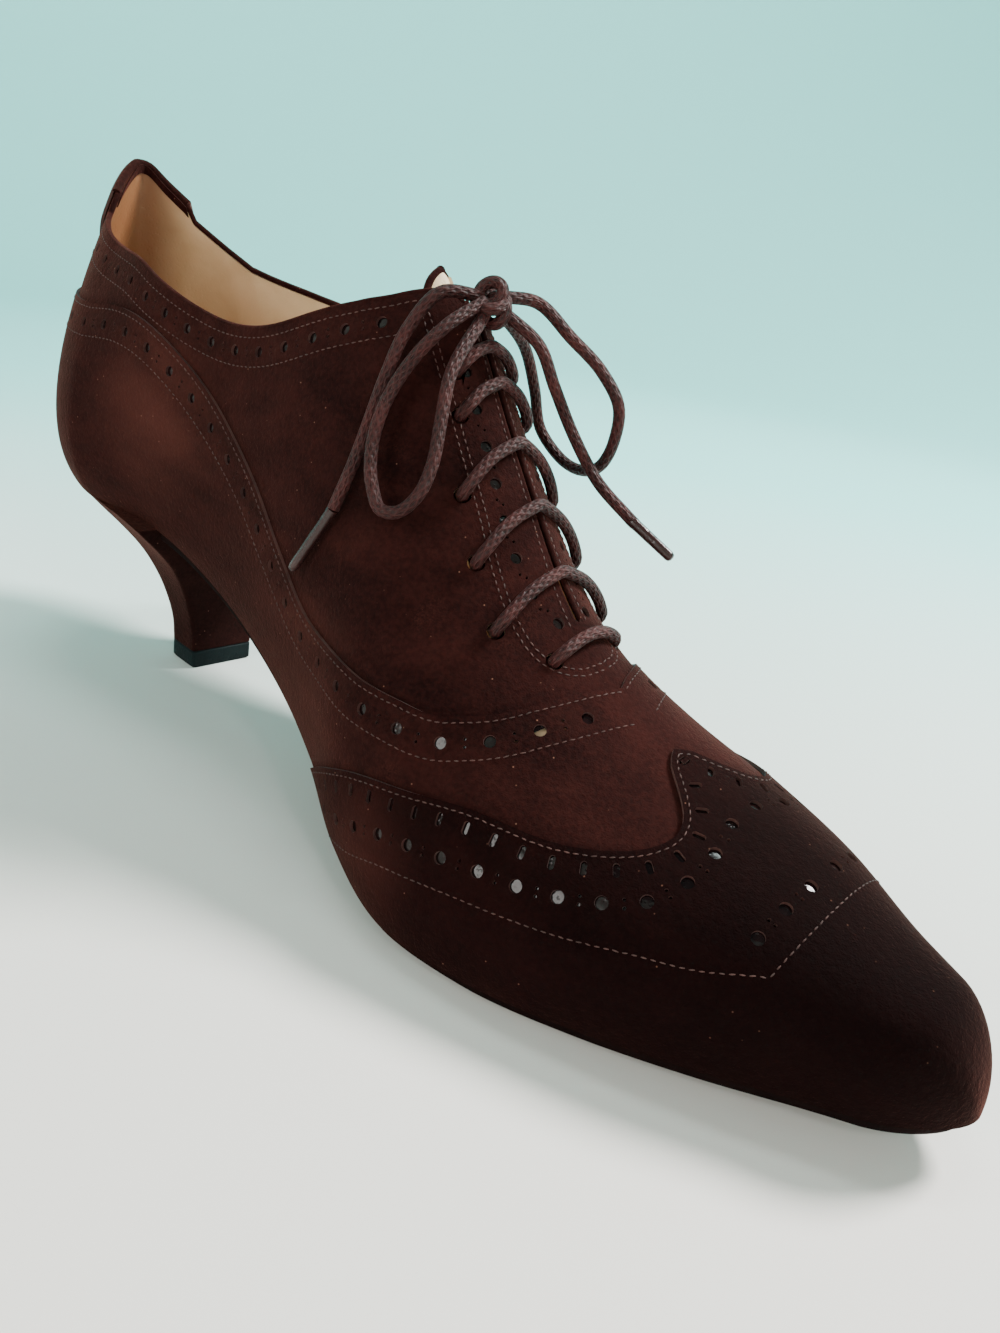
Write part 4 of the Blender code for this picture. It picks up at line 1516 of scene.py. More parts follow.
    def tucked(self, along: np.ndarray, points: np.ndarray, side: Side) -> np.ndarray:
        """Adds the margin that is turned in under the foot.

        Args:
            along: The rows' stations.
            points: Rows of points.
            side: The half of the shoe.

        Returns:
            The wider rows.
        """
        foot = points[:, :1].copy()
        middle = LAST.middle(np.clip(along, LAST.rear, LAST.reach))[:, None]
        share = np.clip((along - LAST.rear) / 0.012, 0, 1)[:, None]
        spread = np.abs(foot[:, :, 1] - middle)
        scale = 1 - np.clip(self.tuck / np.maximum(spread, self.tuck), 0, 1)
        foot[:, :, 1] = middle + (foot[:, :, 1] - middle) * scale
        foot[:, :, 0] += (1 - share) * 0.004 * np.clip((LAST.rear - along) / 0.02, 0, 1)[:, None]
        return np.concatenate([foot, points], axis=1)

    def build_panel(self) -> None:
        """Vamp and counter in one."""
        along = self.stations()
        grids = {}
        for side in Side:
            edge = np.where(along < self.throat, LAST.panel(along), 1.0)
            up = edge[:, None] * np.linspace(0, 1, 34)[None, :]
            points = LAST.skin(along[:, None], up, side, 0.0)
            grids[side] = self.tucked(along, points, side)
        panel = sheet("vamp_and_counter", grids, self.leather, (SUEDE, CUT_EDGE_AND_HIGHLIGHT), self.punches["panel"])
        dress(panel, "suede", ["upper"])

    def build_wing(self) -> None:
        """The wing tip with its W-shaped edge."""
        grids = {}
        for side in Side:
            up = np.linspace(self.wing_foot, 1.0, 44)
            start = LAST.wing(up)[None, :]
            body = start + (0.207 - start) * np.linspace(0, 1, 80)[:, None]
            along = np.concatenate([body, np.broadcast_to(NOSE[:, None], (len(NOSE), len(up)))])
            ups = np.broadcast_to(up[None, :], along.shape)
            grids[side] = LAST.skin(along, ups, side, self.wing_out)
        finishes = (SUEDE_WING_SHADED, CUT_EDGE_AND_HIGHLIGHT)
        wing = sheet("wing_tip_leather", grids, self.leather, finishes, self.punches["wing"])
        dress(wing, "suede_overlay", ["wing_tip"])

    def collar_stations(self, last: float) -> np.ndarray:
        """Stations that follow the tab's step, the collar and the slit.

        Args:
            last: The last station.

        Returns:
            The stations.
        """
        return np.concatenate(
            [
                np.linspace(LAST.back, -0.0334, 18),
                np.linspace(-0.0330, -0.0313, 5),
                np.linspace(-0.0305, self.slit_top, 90),
                np.linspace(self.slit_top + 0.0006, self.slit_end, 34),
                np.linspace(self.slit_end + 0.0004, last, 12 if last < 0.15 else 70),
            ]
        )

    def top(self, at: float, side: Side, collar_margin: float, slit_margin: float) -> float:
        """How far up the leather ends at a station, some way below the collar or the slit.

        Args:
            at: The station.
            side: The half of the shoe.
            collar_margin: How far it stays below the collar.
            slit_margin: How far it stays below the slit.

        Returns:
            How far up, from 0 to 1.
        """
        if at < self.slit_top:
            return float(LAST.collar(at, side)) - collar_margin
        if at < self.slit_end:
            return self.slit_up(at, side) - slit_margin
        return 1.0

    def quarter_grid(self, side: Side, out: float, low_margin: float, top_margin: float) -> np.ndarray:
        """Points of one quarter from under the panel to the collar and the slit.

        Args:
            side: The half of the shoe.
            out: Metres outward.
            low_margin: How far it runs under the panel.
            top_margin: How far it stays below the collar and the slit.

        Returns:
            Rows of points.
        """
        along = self.collar_stations(self.throat + 0.003)
        rows = []
        for at in along:
            low = max(float(LAST.panel(at)) - low_margin, 0.0) if at < self.throat else 0.9
            top = self.top(at, side, top_margin, top_margin)
            rows.append(low + (top - low) * np.linspace(0, 1, 30))
        up = np.array(rows)
        return LAST.skin(np.broadcast_to(along[:, None], up.shape), up, side, out)

    def build_quarters(self) -> None:
        """Both quarters and the glossy underlay under them."""
        grids = {side: self.quarter_grid(side, -self.step, 0.09, 0.0) for side in Side}
        quarters = sheet("quarters", grids, self.leather, (SUEDE, CUT_EDGE_AND_HIGHLIGHT), self.punches["quarter"])
        dress(quarters, "suede", ["upper"])
        depth = self.step + self.leather + 0.00003
        grids = {side: self.quarter_grid(side, -depth, 0.05, 0.008) for side in Side}
        under = sheet("quarter_underlay", grids, 0.0001, (PATENT, PATENT), self.eyelet_punches())
        dress(under, "suede", ["upper"])

    def eyelet_punches(self) -> bmesh.types.BMesh:
        """The lace holes' solids alone."""
        bm = bmesh.new()
        for side in Side:
            for along, spread in EYELETS:
                place, outward = eyelet(along, spread, side)
                ahead = outward.orthogonal().normalized()
                LACE_HOLE.add(bm, Spot(place - outward * 0.001, ahead, outward))
        return bm

    def build_underlays(self) -> None:
        """The glossy leather that shows through the panel's and the wing tip's holes."""
        grids = {}
        along = np.concatenate([np.linspace(LAST.back, 0.125, 90), np.linspace(0.127, 0.159, 30)])
        for side in Side:
            edge = np.where(along < self.throat, LAST.panel(np.minimum(along, self.throat)), 1.0)
            low = np.maximum(edge - 0.13, 0.0)
            low = np.where(along < self.throat, low, 0.6)
            rise = edge - 0.006 * (along < self.throat) - low
            up = low[:, None] + rise[:, None] * np.linspace(0, 1, 16)
            grids[side] = LAST.skin(along[:, None], up, side, -self.leather - 0.00001)
        dress(sheet("panel_underlay", grids, self.underlay, (PATENT, PATENT)), "suede", ["upper"])
        grids = {}
        for side in Side:
            up = np.linspace(0.03, 1.0, 40)
            edge = self.wing_trace(side).offset(0.9 * MM, 1)
            start = np.interp(up, edge.up, edge.along)[None, :]
            along = start + (0.199 - start) * np.linspace(0, 1, 60)[:, None]
            out = self.wing_out - self.leather - 0.00005
            grids[side] = LAST.skin(along, np.broadcast_to(up[None, :], along.shape), side, out)
        under = sheet("wing_underlay", grids, self.underlay, (PATENT, PATENT))
        dress(under, "suede_overlay", ["wing_tip"])

    def build_lining(self) -> None:
        """The beige lining from the collar to the insole."""
        along = self.collar_stations(0.2235)
        grids = {}
        for side in Side:
            rows = [self.top(at, side, 0.006, 0.022) * np.linspace(0.002, 1, 30) for at in along]
            grids[side] = LAST.skin(along[:, None], np.array(rows), side, -self.lining_depth)
        lining = sheet("upper_lining", grids, self.lining, (LINING, LINING), self.eyelet_punches())
        dress(lining, "lining", ["upper"])

    def build_rims(self) -> None:
        """The folded edges of the collar and the lacing slit."""
        runs = []
        for side in Side:
            step = np.linspace(-0.0346, -0.0302, 40)
            along = np.concatenate([step, np.linspace(-0.0300, self.slit_top, 300)])
            rim = Trace(side, along, LAST.collar(along, side))
            runs.append((rim.path(0.8 * MM, -0.00145), 0.00074))
            along = np.linspace(self.slit_top - 0.0003, self.slit_end, 60)
            up = np.array([self.slit_up(at, side) for at in along])
            runs.append((Trace(side, along, up).path(1.0 * MM, -0.00135), 0.00062))
        dress(tubes("folded_edges", runs, 10), "suede", ["upper"], SUEDE)

    def build_tab(self) -> None:
        """The raised tab over the back seam, its rolled rim and its fold inside."""
        grids = {}
        inside = {}
        for side in Side:
            ups = np.linspace(0, 1, 22)
            height = self.tab_low + (self.tab_high - self.tab_low) * ups
            levels, shares = zip(*TAB_EDGE)
            reach = LAST.rear_arc * hermite(levels, shares, height)
            along = LAST.back + reach[None, :] * np.linspace(0, 1, 18)[:, None]
            top = LAST.collar(along, side) + self.tab_rise
            up = self.tab_low + (top - self.tab_low) * ups[None, :]
            grids[side] = LAST.skin(along, up, side, -self.step + self.tab_out)
            edge = np.linspace(LAST.back, LAST.back + 0.525 * LAST.rear_arc, 18)
            top = LAST.collar(edge, side)[:, None] + self.tab_rise
            up = top - np.linspace(0.020, 0, 6)[None, :]
            inside[side] = LAST.skin(edge[:, None], up, side, -0.0022)
        tab = sheet("back_tab_leather", grids, self.leather, (SUEDE_TAB, CUT_EDGE_AND_HIGHLIGHT))
        dress(tab, "suede_overlay", ["back_tab"])
        fold = sheet("back_tab_fold", inside, 0.0003, (SUEDE, SUEDE))
        dress(fold, "suede_overlay", ["back_tab"])
        edge = np.linspace(LAST.back, LAST.back + 0.52 * LAST.rear_arc, 60)
        lines = [Trace(side, edge, LAST.collar(edge, side) + self.tab_rise) for side in Side]
        rim = tubes("back_tab_rim", [(line.path(1.0 * MM, -0.00095), 0.00105) for line in lines], 12)
        dress(rim, "suede_overlay", ["back_tab"], SUEDE_TAB)

    def build_stitches(self) -> None:
        """Every row of stitches in one piece."""
        chance = random.Random(11)
        bm = bmesh.new()
        stitch = Stitch()
        for trace, out in self.seams:
            row = bmesh.new()
            for spot in trace.spots(self.stitch_pitch, out + 0.00003):
                stitch.add(row, spot, chance)
            mesh = bpy.data.meshes.new("row")
            row.to_mesh(mesh)
            row.free()
            bm.from_mesh(mesh)
            bpy.data.meshes.remove(mesh)
        dress(object_of(bm, "stitching", 180), "suede", [], THREAD)

    def build(self) -> None:
        """Builds the whole upper."""
        self.plan_trim()
        self.build_panel()
        self.build_quarters()
        self.build_wing()
        self.build_underlays()
        self.build_lining()
        self.build_rims()
        self.build_tab()
        self.build_stitches()


@dataclass
class Tongue:
    """The tongue with its lining."""

    top: float = 0.0845
    root: float = 0.151
    half_top: float = 0.0135
    half_root: float = 0.018
    thickness: float = 0.0016
    sewn: float = 0.0025
    deep: float = 0.00575
    corners: tuple[float, ...] = (0.34, 0.62, 0.79, 0.89, 0.95, 0.985)
    rim: float = 0.0010
    patch: float = 0.0868
    slit_end: float = 0.1335
    rows: int = 46
    lift: float = 0.0012
    lift_rows: int = 8
    rim_rows: int = 14

    def build(self) -> None:
        """Builds the tongue, a little proud of the facing's top."""
        stations = np.linspace(self.top, self.root, self.rows)
        share = np.clip((stations - self.slit_end) / (self.root - self.slit_end), 0, 1)
        lift = self.lift * np.clip(1 - np.arange(self.rows) / self.lift_rows, 0, 1)
        depth = self.deep + (self.sewn - self.deep) * share - lift
        reach = np.linspace(self.half_top, self.half_root, self.rows)
        reach[: len(self.corners)] *= self.corners
        grids = {}
        for side in Side:
            rows = []
            for k, along in enumerate(stations):
                edge = LAST.up_at_spread(float(along), float(reach[k]), side)
                rows.append(LAST.skin(along, np.linspace(edge, 1, 18), side, -depth[k]))
            grids[side] = np.array(rows)
        finishes = (SUEDE, CUT_EDGE_AND_HIGHLIGHT, LINING)
        tongue = sheet("tongue_leather", grids, self.thickness, finishes, inner_material=2)
        dress(tongue, "suede", ["tongue"])
        for face in tongue.data.polygons:
            if face.center.x < self.patch and face.normal.x > 0:
                face.material_index = 2
        halves = {}
        for side in Side:
            deep = LAST.normal(stations[: self.rim_rows], 0.9, side) * -self.thickness / 2
            sides = [Vector(p) for p in (grids[side][: self.rim_rows, 0] + deep)[::-1]]
            halves[side] = sides + [Vector(p) for p in grids[side][0, 1:] + deep[0]]
        path = halves[Side.OUTER] + halves[Side.INNER][-2::-1]
        dress(tubes("tongue_rim", [(smoothed(path, 0.0009), self.rim)], 12), "suede", ["tongue"], SUEDE)


@dataclass
class Bottom:
    """Outsole, insole sock, heel and heel tip."""

    sole: float = 0.0026
    gap: float = 0.0003
    breast: float = 0.013
    seat_margin: float = 0.0005
    corner: float = 0.0009
    tip: float = 0.005
    tip_front: float = 0.0085
    tip_turn: float = -0.001
    tip_back: float = -0.0075
    tip_half: float = 0.0093
    nose_start: float = 0.212
    sole_inset: float = 0.0012
    sock_inset: float = 0.0031
    sock: float = 0.0018
    levels: tuple[tuple[float, ...], ...] = (
        (0.00, 0.00, 0.00, 0.000, 0.00, 0.00, 0.85),
        (0.14, -0.04, 0.02, 0.022, 0.01, 0.01, 0.85),
        (0.32, 0.00, 0.07, 0.085, 0.09, 0.11, 0.86),
        (0.50, 0.18, 0.18, 0.197, 0.22, 0.27, 0.86),
        (0.67, 0.42, 0.35, 0.358, 0.41, 0.49, 0.85),
        (0.81, 0.69, 0.57, 0.577, 0.64, 0.71, 0.83),
        (0.92, 0.89, 0.82, 0.825, 0.85, 0.89, 0.80),
        (1.00, 1.00, 1.00, 1.000, 1.00, 1.00, 0.78),
    )

    def half(self, along: float, side: Side, margin: float) -> float:
        """Half width of a sole layer whose edge stands margin outside the last.

        Args:
            along: The station.
            side: The half of the shoe.
            margin: Metres outside.

        Returns:
            The half width.
        """
        if along < LAST.rear:
            turn = math.asin(min((LAST.rear - along) / (LAST.rear_reach[0] + margin), 1.0))
            return (float(LAST.half(LAST.rear, side)) + margin) * math.cos(turn) ** LAST.square_seat
        blunt = LAST.round_plan[side]
        share = max((along - LAST.reach + blunt) / (blunt + margin), 0.0)
        return (float(LAST.half(along, side)) + margin) * math.sqrt(max(1 - share**2, 0.0))

    def layer(self, along: float, margin: float, top: float, bottom: float, ease: float) -> list[Point]:
        """One ring of a sole layer with eased corners.

        Args:
            along: The station.
            margin: How far the edge stands outside the last.
            top: Height of the upper face.
            bottom: Height of the lower face.
            ease: How much is taken off the corners.

        Returns:
            The ring's points.
        """
        middle = float(LAST.middle(max(along, LAST.rear)))
        outer = middle - self.half(along, Side.OUTER, margin)
        inner = middle + self.half(along, Side.INNER, margin)
        ease = min(ease, (inner - outer) / 4)
        across = [outer + ease, outer + 3 * ease, middle, inner - 3 * ease, inner - ease]
        low = [(along, y, bottom) for y in across[::-1]]
        high = [(along, y, top) for y in across]
        return [
            (along, outer, top - ease),
            *high,
            (along, inner, top - ease),
            (along, inner, bottom + ease),
            *low,
            (along, outer, bottom + ease),
        ]

    def build_soles(self) -> None:
        """The outsole and the sock on the insole."""
        turn = np.sin(np.linspace(0, math.radians(86), 22))
        span = LAST.reach - self.nose_start
        rings = []
        body = np.linspace(self.breast + 0.0006, 0.2105, 110)
        for along in np.concatenate([body, self.nose_start + (span - self.sole_inset) * turn]):
            top = float(LAST.seat_height(along)) - self.gap
            low = max(top - self.sole, 0.0)
            rings.append(self.layer(float(along), -self.sole_inset, top, low, 0.00045))
        outsole = wrapped("outsole_leather", np.array(rings), 50)
        dress(outsole, "sole_leather", ["outsole"], SOLE, TREAD)
        for face in outsole.data.polygons:
            face.material_index = int(face.normal.z < -0.7)
        rear_turn = np.sin(np.linspace(math.radians(86), 0, 18))
        rear = LAST.rear - (LAST.rear_reach[0] - self.sock_inset) * rear_turn
        nose = self.nose_start + (span - self.sock_inset) * turn
        rings = []
        for along in np.concatenate([rear, np.linspace(-0.010, 0.2105, 90), nose]):
            seat = self.seat(float(along))
            rings.append(self.layer(float(along), -self.sock_inset, seat + self.sock, seat, 0.0004))
        sock = wrapped("insole_sock", np.array(rings), 60)
        dress(sock, "lining", ["insole"], SOCK)

    def seat(self, along: float) -> float:
        """Height of the heel seat and of the feather edge ahead of it.

        Args:
            along: The station.

        Returns:
            The height.
        """
        height = float(LAST.seat_height(max(along, LAST.rear)))
        return height + max(LAST.rear - along, 0.0) * LAST.rear_slope

    def outline(self, row: Sequence[float]) -> list[tuple[float, float]]:
        """The plan of one heel level.

        Args:
            row: The level's row of the table.

        Returns:
            The plan's points, from the breast round the back.
        """
        up, breast, turn, back, outer, inner, square = row
        middle_seat = float(LAST.middle(LAST.rear))
        left_seat = middle_seat - float(LAST.half(LAST.rear, Side.OUTER)) + self.seat_margin
        right_seat = middle_seat + float(LAST.half(LAST.rear, Side.INNER)) - self.seat_margin
        rear_seat = LAST.rear - LAST.rear_reach[0] + self.seat_margin
        middle = middle_seat * up
        front = self.tip_front + (self.breast - self.tip_front) * breast
        bend = self.tip_turn + (LAST.rear - self.tip_turn) * turn
        rear = self.tip_back + (rear_seat - self.tip_back) * back
        left = -self.tip_half + (left_seat + self.tip_half) * outer
        right = self.tip_half + (right_seat - self.tip_half) * inner
        corner = self.corner
        turns = np.linspace(0, math.pi / 2, 21)[:-1]
        curve = [(bend - (bend - rear) * math.sin(a), math.cos(a) ** square) for a in turns]
        straight = [front - corner + (bend - front + corner) * t for t in np.linspace(0, 1, 6)[1:-1]]
        halves = []
        for edge, inward in ((left, corner), (right, -corner)):
            half = []
            for a in np.linspace(0, math.pi / 2, 5):
                half.append((front - corner * (1 - math.cos(a)), edge + inward * (1 - math.sin(a))))
            half += [(x, edge) for x in straight]
            half += [(x, middle + (edge - middle) * share) for x, share in curve]
            halves.append(half)
        return [*halves[0], (rear, middle), *halves[1][::-1]]

    def build_heel(self) -> None:
        """The covered heel block and its tip."""
        table = np.array(self.levels)
        foot = self.tip + self.gap
        rings = []
        for up in np.linspace(0, 1, 34):
            row = [float(hermite(table[:, 0], table[:, k], up)) for k in range(7)]
            row[0] = float(up)
            ring = []
            for x, y in self.outline(row):
                ring.append((x, y, foot + (self.seat(x) - self.gap - foot) * up))
            rings.append(ring)
        dress(wrapped("heel_cover", np.array(rings), 50), "suede", ["heel"], SUEDE_HEEL)
        plan = self.outline(self.levels[0])
        rings = []
        for share, z in ((0.955, 0.0), (1.0, 0.0005), (1.0, self.tip - 0.0003), (0.97, self.tip)):
            rings.append([(x * share, y * share, z) for x, y in plan])
        dress(wrapped("heel_tip_rubber", np.array(rings), 40), "tip_rubber", ["heel_tip"], RUBBER)

    def build(self) -> None:
        """Builds the whole bottom."""
        self.build_soles()
        self.build_heel()


# The lacing

EYELETS = (
    (0.0980, 0.0080),
    (0.1022, 0.0096),
    (0.1093, 0.0134),
    (0.1172, 0.0150),
    (0.1260, 0.0160),
    (0.1358, 0.0090),
)
LOOP_NEAR = (
    (0.0968, -0.0100, 0.1075),
    (0.0940, -0.0162, 0.0992),
    (0.0932, -0.0200, 0.0920),
    (0.0942, -0.0228, 0.0850),
    (0.0976, -0.0247, 0.0780),
    (0.1018, -0.0252, 0.0742),
    (0.1050, -0.0240, 0.0748),
    (0.1068, -0.0212, 0.0782),
    (0.1065, -0.0184, 0.0832),
    (0.1045, -0.0156, 0.0908),
    (0.1020, -0.0125, 0.0985),
)
LOOP_FAR = (
    (0.1004, 0.0100, 0.1135),
    (0.1064, 0.0150, 0.1080),
    (0.1126, 0.0190, 0.1025),
    (0.1166, 0.0212, 0.0965),
    (0.1160, 0.0226, 0.0895),
    (0.1124, 0.0245, 0.0835),
    (0.1060, 0.0270, 0.0805),
    (0.0975, 0.0288, 0.0810),
    (0.0918, 0.0272, 0.0860),
    (0.0912, 0.0235, 0.0950),
    (0.0920, 0.0185, 0.1025),
)
END_NEAR = (
    (0.0920, -0.0078, 0.1130),
    (0.0897, -0.0134, 0.1055),
    (0.0896, -0.0175, 0.0965),
    (0.0895, -0.0204, 0.0878),
    (0.0892, -0.0227, 0.0805),
    (0.0876, -0.0256, 0.0705),
)
END_FAR = (
    (0.1050, 0.0075, 0.1060),
    (0.1072, 0.0115, 0.0985),
    (0.1108, 0.0160, 0.0892),
    (0.1165, 0.0190, 0.0813),
    (0.1250, 0.0220, 0.0750),
)
AGLET_NEAR = (0.0796, -0.0287, 0.0556)
AGLET_FAR = (0.1350, 0.0240, 0.0700)


def eyelet(along: float, spread: float, side: Side) -> tuple[Vector, Vector]:
    """A lace hole's place on the last and the direction out of it.

    Args:
        along: Its station.
        spread: Metres from the centre line.
        side: The half of the shoe.

    Returns:
        The place and the direction.
    """
    up = LAST.up_at_spread(along, spread, side)
    return Vector(LAST.bare(along, up, side)), Vector(LAST.normal(along, up, side))


@dataclass
class Lacing:
    """The lace: bars over the facings, the knot, loops, ends and aglets."""

    radius: float = 0.00125
    around: int = 18
    wall: float = 0.0022
    step: float = 0.0008
    over: float = 0.00022
    under: float = 0.00045
    bend: float = 0.0021
    knot: Vector = field(default_factory=lambda: Vector((0.0970, 0.0013, 0.1122)))
    knot_radii: Vector = field(default_factory=lambda: Vector((0.0037, 0.0034, 0.0050)))

    def exit(self, direction: Point, depth: float) -> Vector:
        """Where a cord leaves the knot, depth under the CAD's gap.

        Args:
            direction: The way out of the knot.
            depth: How deep it starts.

        Returns:
            The point.
        """
        way = Vector(direction).normalized()
        scaled = Vector(d / r for d, r in zip(way, self.knot_radii))
        return self.knot + way * (1 / scaled.length + 0.0009 - depth)

    def cord(self, name: str, path: list[Vector], node: str) -> None:
        """One free stretch of the lace.

        Args:
            name: The piece's name.
            path: Its centre line.
            node: The solid that it stands for.
        """
        piece = dress(tubes(name, [(path, self.radius)], self.around, 60), "lace", [node], LACE)

    def build_aglet(self, name: str, start: Vector, tip: Vector, node: str) -> bpy.types.Object:
        """A plastic sleeve over the lace's end.

        Args:
            name: The piece's name.
            start: Where the lace enters.
            tip: Its free end.
            node: The solid that it stands for.

        Returns:
            The piece.
        """
        shares = (0.0, 0.04, 0.10, 0.5, 0.92, 0.975, 1.0)
        sizes = (1.0, 1.02, 0.93, 0.90, 0.88, 0.74, 0.42)
        even = np.linspace(0, 1, len(shares))
        path = [start.lerp(tip, share) for share in shares]
        run = (path, lambda at: self.radius * float(np.interp(at, even, sizes)))
        return dress(tubes(name, [run], 16), "aglet", [node], AGLET)

    def build_knot(self) -> bpy.types.Object:
        """The bow's knot, as three turns of the lace pulled tight."""
        bm = bmesh.new()
        for centre, radii, tilt in (
            ((0.0, 0.0, 0.0004), (0.0024, 0.0034), (0.35, 0.2, 0.5)),
            ((0.0004, 0.0004, -0.0012), (0.0025, 0.0028), (1.25, 0.1, 0.9)),
            ((-0.0004, -0.0006, 0.0018), (0.0021, 0.0025), (1.1, 0.5, -0.5)),
        ):
            turn = Matrix.Rotation(tilt[0], 3, "X") @ Matrix.Rotation(tilt[1], 3, "Y")
            turn = turn @ Matrix.Rotation(tilt[2], 3, "Z")
            ring = []
            for angle in np.linspace(0, 2 * math.pi, 28, endpoint=False):
                flat = Vector((radii[0] * math.cos(angle), radii[1] * math.sin(angle), 0))
                ring.append(self.knot + Vector(centre) + turn @ flat)
            tube_mesh(bm, ring, self.radius * 0.98, 14, closed=True)
        bmesh.ops.remove_doubles(bm, verts=bm.verts, dist=1e-6)
        bmesh.ops.recalc_face_normals(bm, faces=bm.faces)
        return dress(object_of(bm, "bow_knot", 60), "lace", ["lace_knot"], LACE)

    def build_bow(self) -> None:
        """Knot, loops, ends and aglets."""
        depth = 0.0022
        knot = self.build_knot()
        for which, route, tip in (("near", END_NEAR, AGLET_NEAR), ("far", END_FAR, AGLET_FAR)):
            start = Vector(route[-1])
            self.build_aglet(f"lace_aglet_{which}", start, Vector(tip), f"aglet_{which}")
        near = [self.exit((-0.1, -1.0, 0.1), depth), *LOOP_NEAR, self.exit((0.15, -0.75, -0.62), depth)]
        self.cord("bow_loop_near", smoothed(near), "lace_loop_near")
        far = [self.exit((0.25, 0.75, 0.60), depth), *LOOP_FAR, self.exit((-0.5, 0.8, -0.15), depth)]
        self.cord("bow_loop_far", smoothed(far), "lace_loop_far")
        for which, leave, route in (
            ("near", (-0.75, -0.6, 0.42), END_NEAR),
            ("far", (0.75, 0.45, -0.45), END_FAR),
        ):
            path = smoothed([self.exit(leave, depth), *route])
            self.cord(f"bow_end_{which}", path, f"lace_end_{which}")

    def build_bars(self) -> None:
        """Six bars over the facings and the runs under them."""
        over = -self.step + self.over + self.radius
        under = -self.wall - self.under - self.radius
        corners = []
        side = Side.OUTER
        for along, spread in EYELETS:
            other = Side(-side.value)
            place, outward = eyelet(along, spread, side)
            corners += [place + outward * under, place + outward * over]
            for share, half in ((0.5, side), (0.0, side), (0.5, other)):
                up = LAST.up_at_spread(along, share * spread, half) if share else 1.0
                corners.append(Vector(LAST.bare(along, up, half) + LAST.normal(along, up, half) * over))
            place, outward = eyelet(along, spread, other)
            corners += [place + outward * over, place + outward * under]
            side = other
        bars = tubes("lace_crossings", [(self.rounded(corners), self.radius)], self.around, 60)
        dress(bars, "lace", ["lace_bars"], LACE)

    def rounded(self, corners: Sequence[Vector]) -> list[Vector]:
        """A route through corners with rounded turns, in even steps.

        Args:
            corners: The corners.

        Returns:
            The points of the route.
        """
        route = [corners[0]]
        for before, here, after in zip(corners, corners[1:], corners[2:]):
            back = (before - here).normalized()
            ahead = (after - here).normalized()
            angle = back.angle(ahead)
            if angle > math.radians(150):
                route.append(here)
                continue
            trim = self.bend / math.tan(angle / 2)
            centre = here + (back + ahead).normalized() * self.bend / math.sin(angle / 2)
            start = here + back * trim - centre
            end = here + ahead * trim - centre
            for k in range(5):
                route.append(centre + start.slerp(end, k / 4) * self.bend)
        route.append(corners[-1])
        return smoothed(route, 0.0009)

    def build(self) -> None:
        """Builds the lacing."""
        self.build_bow()
        self.build_bars()


# Stage, light and camera


@dataclass(frozen=True)
class Lamp:
    """One soft light."""

    name: str
    place: Point
    size: float
    power: float
    colour: tuple[float, float, float]
    target: Point = (0.09, 0.0, 0.05)

    def build(self) -> None:
        """Adds the light, turned to its target."""
        data = bpy.data.lights.new(self.name, "AREA")
        data.shape = "DISK"
        data.size = self.size
        data.energy = self.power
        data.color = self.colour
        obj = bpy.data.objects.new(self.name, data)
        bpy.context.scene.collection.objects.link(obj)
        obj.location = self.place
        obj.rotation_mode = "QUATERNION"
        obj.rotation_quaternion = (Vector(self.place) - Vector(self.target)).to_track_quat("Z", "Y")


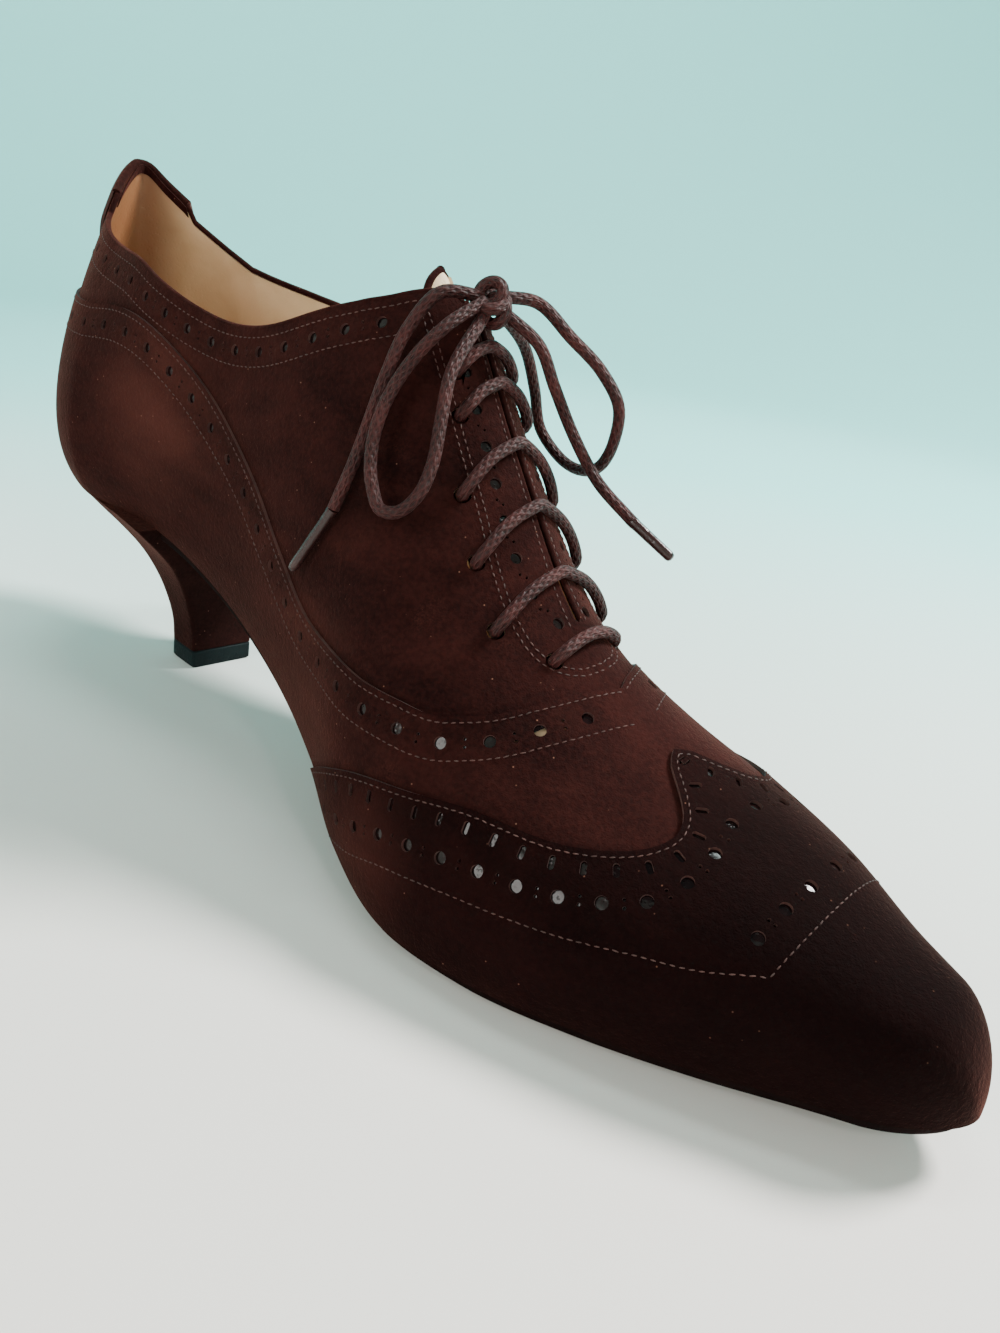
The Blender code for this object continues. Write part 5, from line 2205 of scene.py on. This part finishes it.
@dataclass
class Studio:
    """Camera, floor and lights."""

    azimuth: float = 41.4
    elevation: float = 22.8
    roll: float = 9.25
    distance: float = 0.1897
    target: Vector = field(default_factory=lambda: Vector((0.1267, -0.0133, 0.050)))
    lens: float = 27.0
    floor_flat: float = 0.9
    floor_bend: float = 0.6
    floor_height: float = 2.4
    lamps: tuple[Lamp, ...] = (
        Lamp("key", (0.40, 0.72, 0.92), 0.34, 36.0, (1.0, 0.985, 0.96)),
        Lamp("fill", (0.05, -1.05, 0.50), 0.55, 5.5, (1.0, 0.96, 0.93)),
        Lamp("glint", (0.85, -0.30, 0.75), 0.12, 1.3, (1.0, 0.97, 0.96)),
        Lamp("wall", (-0.1, 0.15, 1.1), 0.5, 16.0, (0.86, 1.0, 0.97), (-1.1, 1.25, 0.35)),
    )

    def build_camera(self) -> None:
        """Places the camera as the photograph shows the shoe."""
        az, el, roll = (math.radians(a) for a in (self.azimuth, self.elevation, self.roll))
        back = Vector((math.sin(az) * math.cos(el), -math.cos(az) * math.cos(el), math.sin(el)))
        right = (-back).cross(Vector((0, 0, 1))).normalized()
        up = right.cross(-back)
        x = right * math.cos(roll) + up * math.sin(roll)
        y = -right * math.sin(roll) + up * math.cos(roll)
        data = bpy.data.cameras.new("camera")
        data.lens = self.lens
        data.sensor_width = 36.0
        data.clip_start = 0.01
        data.clip_end = 20.0
        camera = bpy.data.objects.new("camera", data)
        bpy.context.scene.collection.objects.link(camera)
        turn = Matrix((x, y, back)).transposed().to_4x4()
        camera.matrix_world = Matrix.Translation(self.target + back * self.distance) @ turn
        bpy.context.scene.camera = camera

    def build_floor(self) -> None:
        """A pale floor that curves up all round."""
        bm = bmesh.new()
        flat, bend, height = self.floor_flat, self.floor_bend, self.floor_height
        profile = [(0.0, 0.0), (flat, 0.0)]
        for angle in np.linspace(0, math.pi / 2, 12)[1:]:
            profile.append((flat + bend * math.sin(angle), bend - bend * math.cos(angle)))
        profile.append((flat + bend, height))
        verts = [bm.verts.new((x, 0.0, z)) for x, z in profile]
        edges = [bm.edges.new(pair) for pair in zip(verts, verts[1:])]
        bmesh.ops.spin(
            bm,
            geom=verts + edges,
            cent=(0, 0, 0),
            axis=(0, 0, 1),
            angle=2 * math.pi,
            steps=72,
            use_merge=True,
        )
        bmesh.ops.remove_doubles(bm, verts=bm.verts, dist=1e-5)
        bmesh.ops.recalc_face_normals(bm, faces=bm.faces)
        bmesh.ops.reverse_faces(bm, faces=bm.faces)
        floor = object_of(bm, "floor", 60)
        shader = Shader("floor")
        forward, across, _ = shader.axes()
        behind = across * 0.75 - forward * 0.66 + shader.noise(0.35, 2.0) * 0.10
        colour = shader.blend(behind.fade(-0.22, 0.50), (0.86, 0.78, 0.74, 1.0), (0.28, 0.68, 0.66, 1.0))
        floor.data.materials.append(shader.finish(colour, 0.75, None))

    def build(self) -> None:
        """Builds the stage."""
        self.build_camera()
        self.build_floor()
        for lamp in self.lamps:
            lamp.build()
        world = bpy.data.worlds.new("studio")
        world.use_nodes = True
        background = world.node_tree.nodes["Background"]
        background.inputs["Color"].default_value = (0.74, 0.88, 0.92, 1.0)
        background.inputs["Strength"].default_value = 0.17
        bpy.context.scene.world = world


def main() -> None:
    """Builds every part of the scene in order."""
    Studio().build()
    for part in (Lacing(), Upper(), Tongue(), Bottom()):
        part.build()
        LOG.info("built %s", type(part).__name__)


if __name__ == "__main__":
    main()
